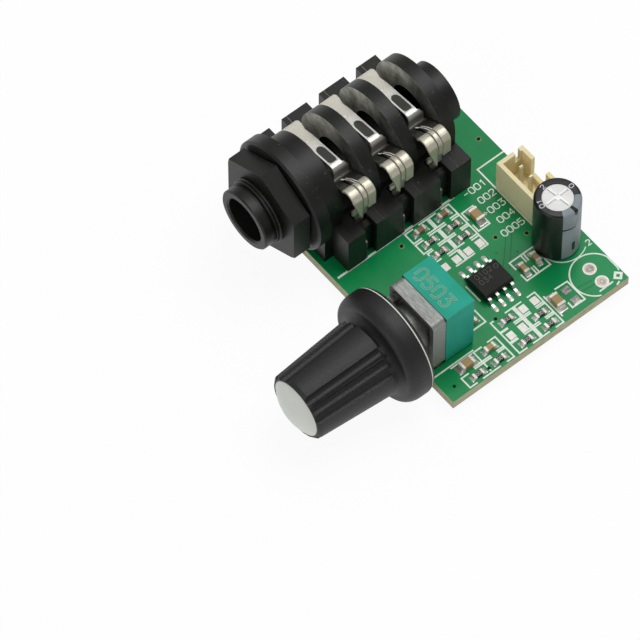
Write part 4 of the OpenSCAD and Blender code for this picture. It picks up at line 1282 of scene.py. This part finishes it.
# %% Film
CAN_AT = np.array([33.65, 26.25])
CAN_R, CAN_TOP, FOLD_R, INSIDE_R = 3.2, 10.7, 2.12, 3.05
FILM_LOW, SHOULDER_LOW = 0.4, 10.25
SHOULDER_W, SHOULDER_H = 0.4, 0.45

film_profile = [(CAN_R, FILM_LOW), (CAN_R, SHOULDER_LOW)]
film_profile += [
    (CAN_R - SHOULDER_W * (1 - math.cos(a)), SHOULDER_LOW + SHOULDER_H * math.sin(a))
    for a in np.linspace(0.2, 1.57, 7)
]
film_profile += [(FOLD_R + 0.04, CAN_TOP)]
inside = [
    (FOLD_R, CAN_TOP - 0.04), (FOLD_R, CAN_TOP - 0.15), (INSIDE_R, CAN_TOP - 0.4), (INSIDE_R, FILM_LOW),
]
film_hoop = hoop(CAN_AT, film_profile + inside, count=128)
sleeve_film = piece("sleeve_film", [film_hoop], film, smooth=True)
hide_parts("capacitor_sleeve")

# %% [markdown]
# ## Patches on the film
# The film is printed with a grey stripe that marks the negative lead. A texture on the film could carry
# it, but its edge has to stay sharp, so it is a thin patch that follows the profile over the shoulder.
# One function lays any such patch, given how far along the film it reaches at each angle.

# %% Wrapped patches
film_path = np.array(film_profile)
film_way = FILM_LOW + np.concatenate([[0], np.cumsum(np.hypot(*np.diff(film_path, axis=0).T))])
FILM_END = film_way[-1] - 0.01


def wrap(angles, lows, highs, lift=0.012, depth=0.03):
    """A thin patch on the film: for each angle in degrees, from one distance along the film to another.

    The distance is the height on the wall, and runs on over the shoulder to the fold. The outward
    direction is the path's own direction turned a quarter to the right. Distances that fall together are
    moved a tiny step apart.
    """
    bends = film_way[(film_way > np.min(lows)) & (film_way < np.max(highs))]
    loft = []
    for angle, low, high in zip(np.radians(angles), lows, highs):
        way = np.sort(np.concatenate([np.linspace(low, high, 9), np.clip(bends, low, high)]))
        way += 0.0001 * np.arange(len(way))
        place, before, after = (
            np.stack([np.interp(way + shift, film_way, film_path[:, k]) for k in (0, 1)], 1)
            for shift in (0.0, -0.02, 0.02)
        )
        ahead = after - before
        out = np.stack([ahead[:, 1], -ahead[:, 0]], 1)
        out /= np.maximum(np.linalg.norm(out, axis=1, keepdims=True), 1e-9)
        flat = np.concatenate([place + lift * out, (place - depth * out)[::-1]])
        loft.append(np.stack([
            CAN_AT[0] + flat[:, 0] * math.cos(angle), CAN_AT[1] + flat[:, 0] * math.sin(angle), flat[:, 1],
        ], 1))
    return np.array(loft)


print("film:", round(float(FILM_END - FILM_LOW), 2), "mm along its profile")

# %% [markdown]
# ## Stripe, dashes and crease
# The stripe carries black dashes with round ends, and the film has a crease across it where it shrank,
# drawn black as painted shade.
# Each is the same kind of patch, a hair above the one below it.

# %% Stripe and dashes
STRIPE_FROM, STRIPE_TO, STRIPE_COUNT = -27.5, 60, 30


def dash(angle, low, high, half_width_mm):
    """A dash with round ends: the height at each angle follows half an ellipse."""
    way = np.linspace(-0.98, 0.98, 11)
    cap = half_width_mm * 1.2 * np.sqrt(1 - way**2)
    angles = angle + np.degrees(way * half_width_mm / CAN_R)
    return wrap(angles, low + half_width_mm - cap, high - half_width_mm + cap, lift=0.03)


stripe_angles = np.linspace(STRIPE_FROM, STRIPE_TO, STRIPE_COUNT)
stripe = wrap(stripe_angles, np.full(STRIPE_COUNT, 0.5), np.full(STRIPE_COUNT, FILM_END), lift=0.015)
piece("sleeve_stripe", [stripe],
      moulded("grey_stripe_ink", "#8b959a", "#7c878c", rough=0.5, grain=0.6, depth=0.02), smooth=True)
# The crease is painted shade, a black band in the same material as the dashes.
crease = [
    wrap(np.linspace(STRIPE_FROM, 7, 12), np.linspace(7.24, 7.0, 12), np.linspace(7.58, 7.2, 12),
         lift=0.025),
    wrap(np.linspace(7, 17, 8), np.linspace(7.0, 9.4, 8), np.linspace(7.2, 9.5, 8), lift=0.02),
]
piece("stripe_dashes", [dash(4, 1.7, 3.5, 0.27), dash(10, 9.8, FILM_END, 0.3)] + crease,
      moulded("black_ink_and_painted_crease_shade", "#0f1615", "#0b1110", rough=0.5))

# %% [markdown]
# ## The capacitor's end
# Plain figures in pale ink stand round the fold. Inside it the bare can shows the two grooves along which
# it may burst, with light on their raised lips. Grooves cut with a boolean would be dark in this light, so
# the lips are low bands with a small disc where they cross, a little whiter than the can: a painted
# highlight.

# %% Figures and vent cross
END_FIGURES = (("0", 95), ("2", 192), ("1", 247), ("0", 264))
VENTS = ((8, 0.26), (92, 0.26))
VENT_HALF, VENT_W, VENT_LEVEL = 1.75, 0.34, CAN_TOP - 0.15


def compass(angle):
    """The direction of an angle in degrees, and the direction a quarter to its left."""
    out = np.array([math.cos(math.radians(angle)), math.sin(math.radians(angle))])
    return out, np.array([-out[1], out[0]])


top_marks = []
for text, angle in END_FIGURES:
    out, left = compass(angle)
    start = CAN_AT + out * 2.2 + left * 0.25
    strokes = figures(text, start, -left, height=0.62, pitch=0.6, width=0.5)
    top_marks += [raised_figure(line, CAN_TOP, width=0.11, high=0.015) for line in strokes]
piece("sleeve_figures", top_marks, ink("white_film_ink", "#dcdce4", "#c6c6d0"))

vents = []
for angle, shift in VENTS:
    out, left = compass(angle)
    middle = CAN_AT + left * shift
    line = raised([middle - out * VENT_HALF, middle + out * VENT_HALF], VENT_LEVEL)
    vents.append(ribbon(line, VENT_W, low=-0.02, high=0.05))
disc = [(0.46, CAN_TOP - 0.2), (0.4, CAN_TOP - 0.08), (0.05, CAN_TOP - 0.05)]
vents.append(turned(CAN_AT + (-0.02, 0.04), disc, count=20))
# The near white lips and disc are a painted highlight on the vent's ridges.
piece("vent_ridges", vents,
      metal("vent_ridge_painted_highlight", "#fafaf8", "#f0f0ee", rough=0.5, grain=0.3, depth=0.003, metallic=0.1))
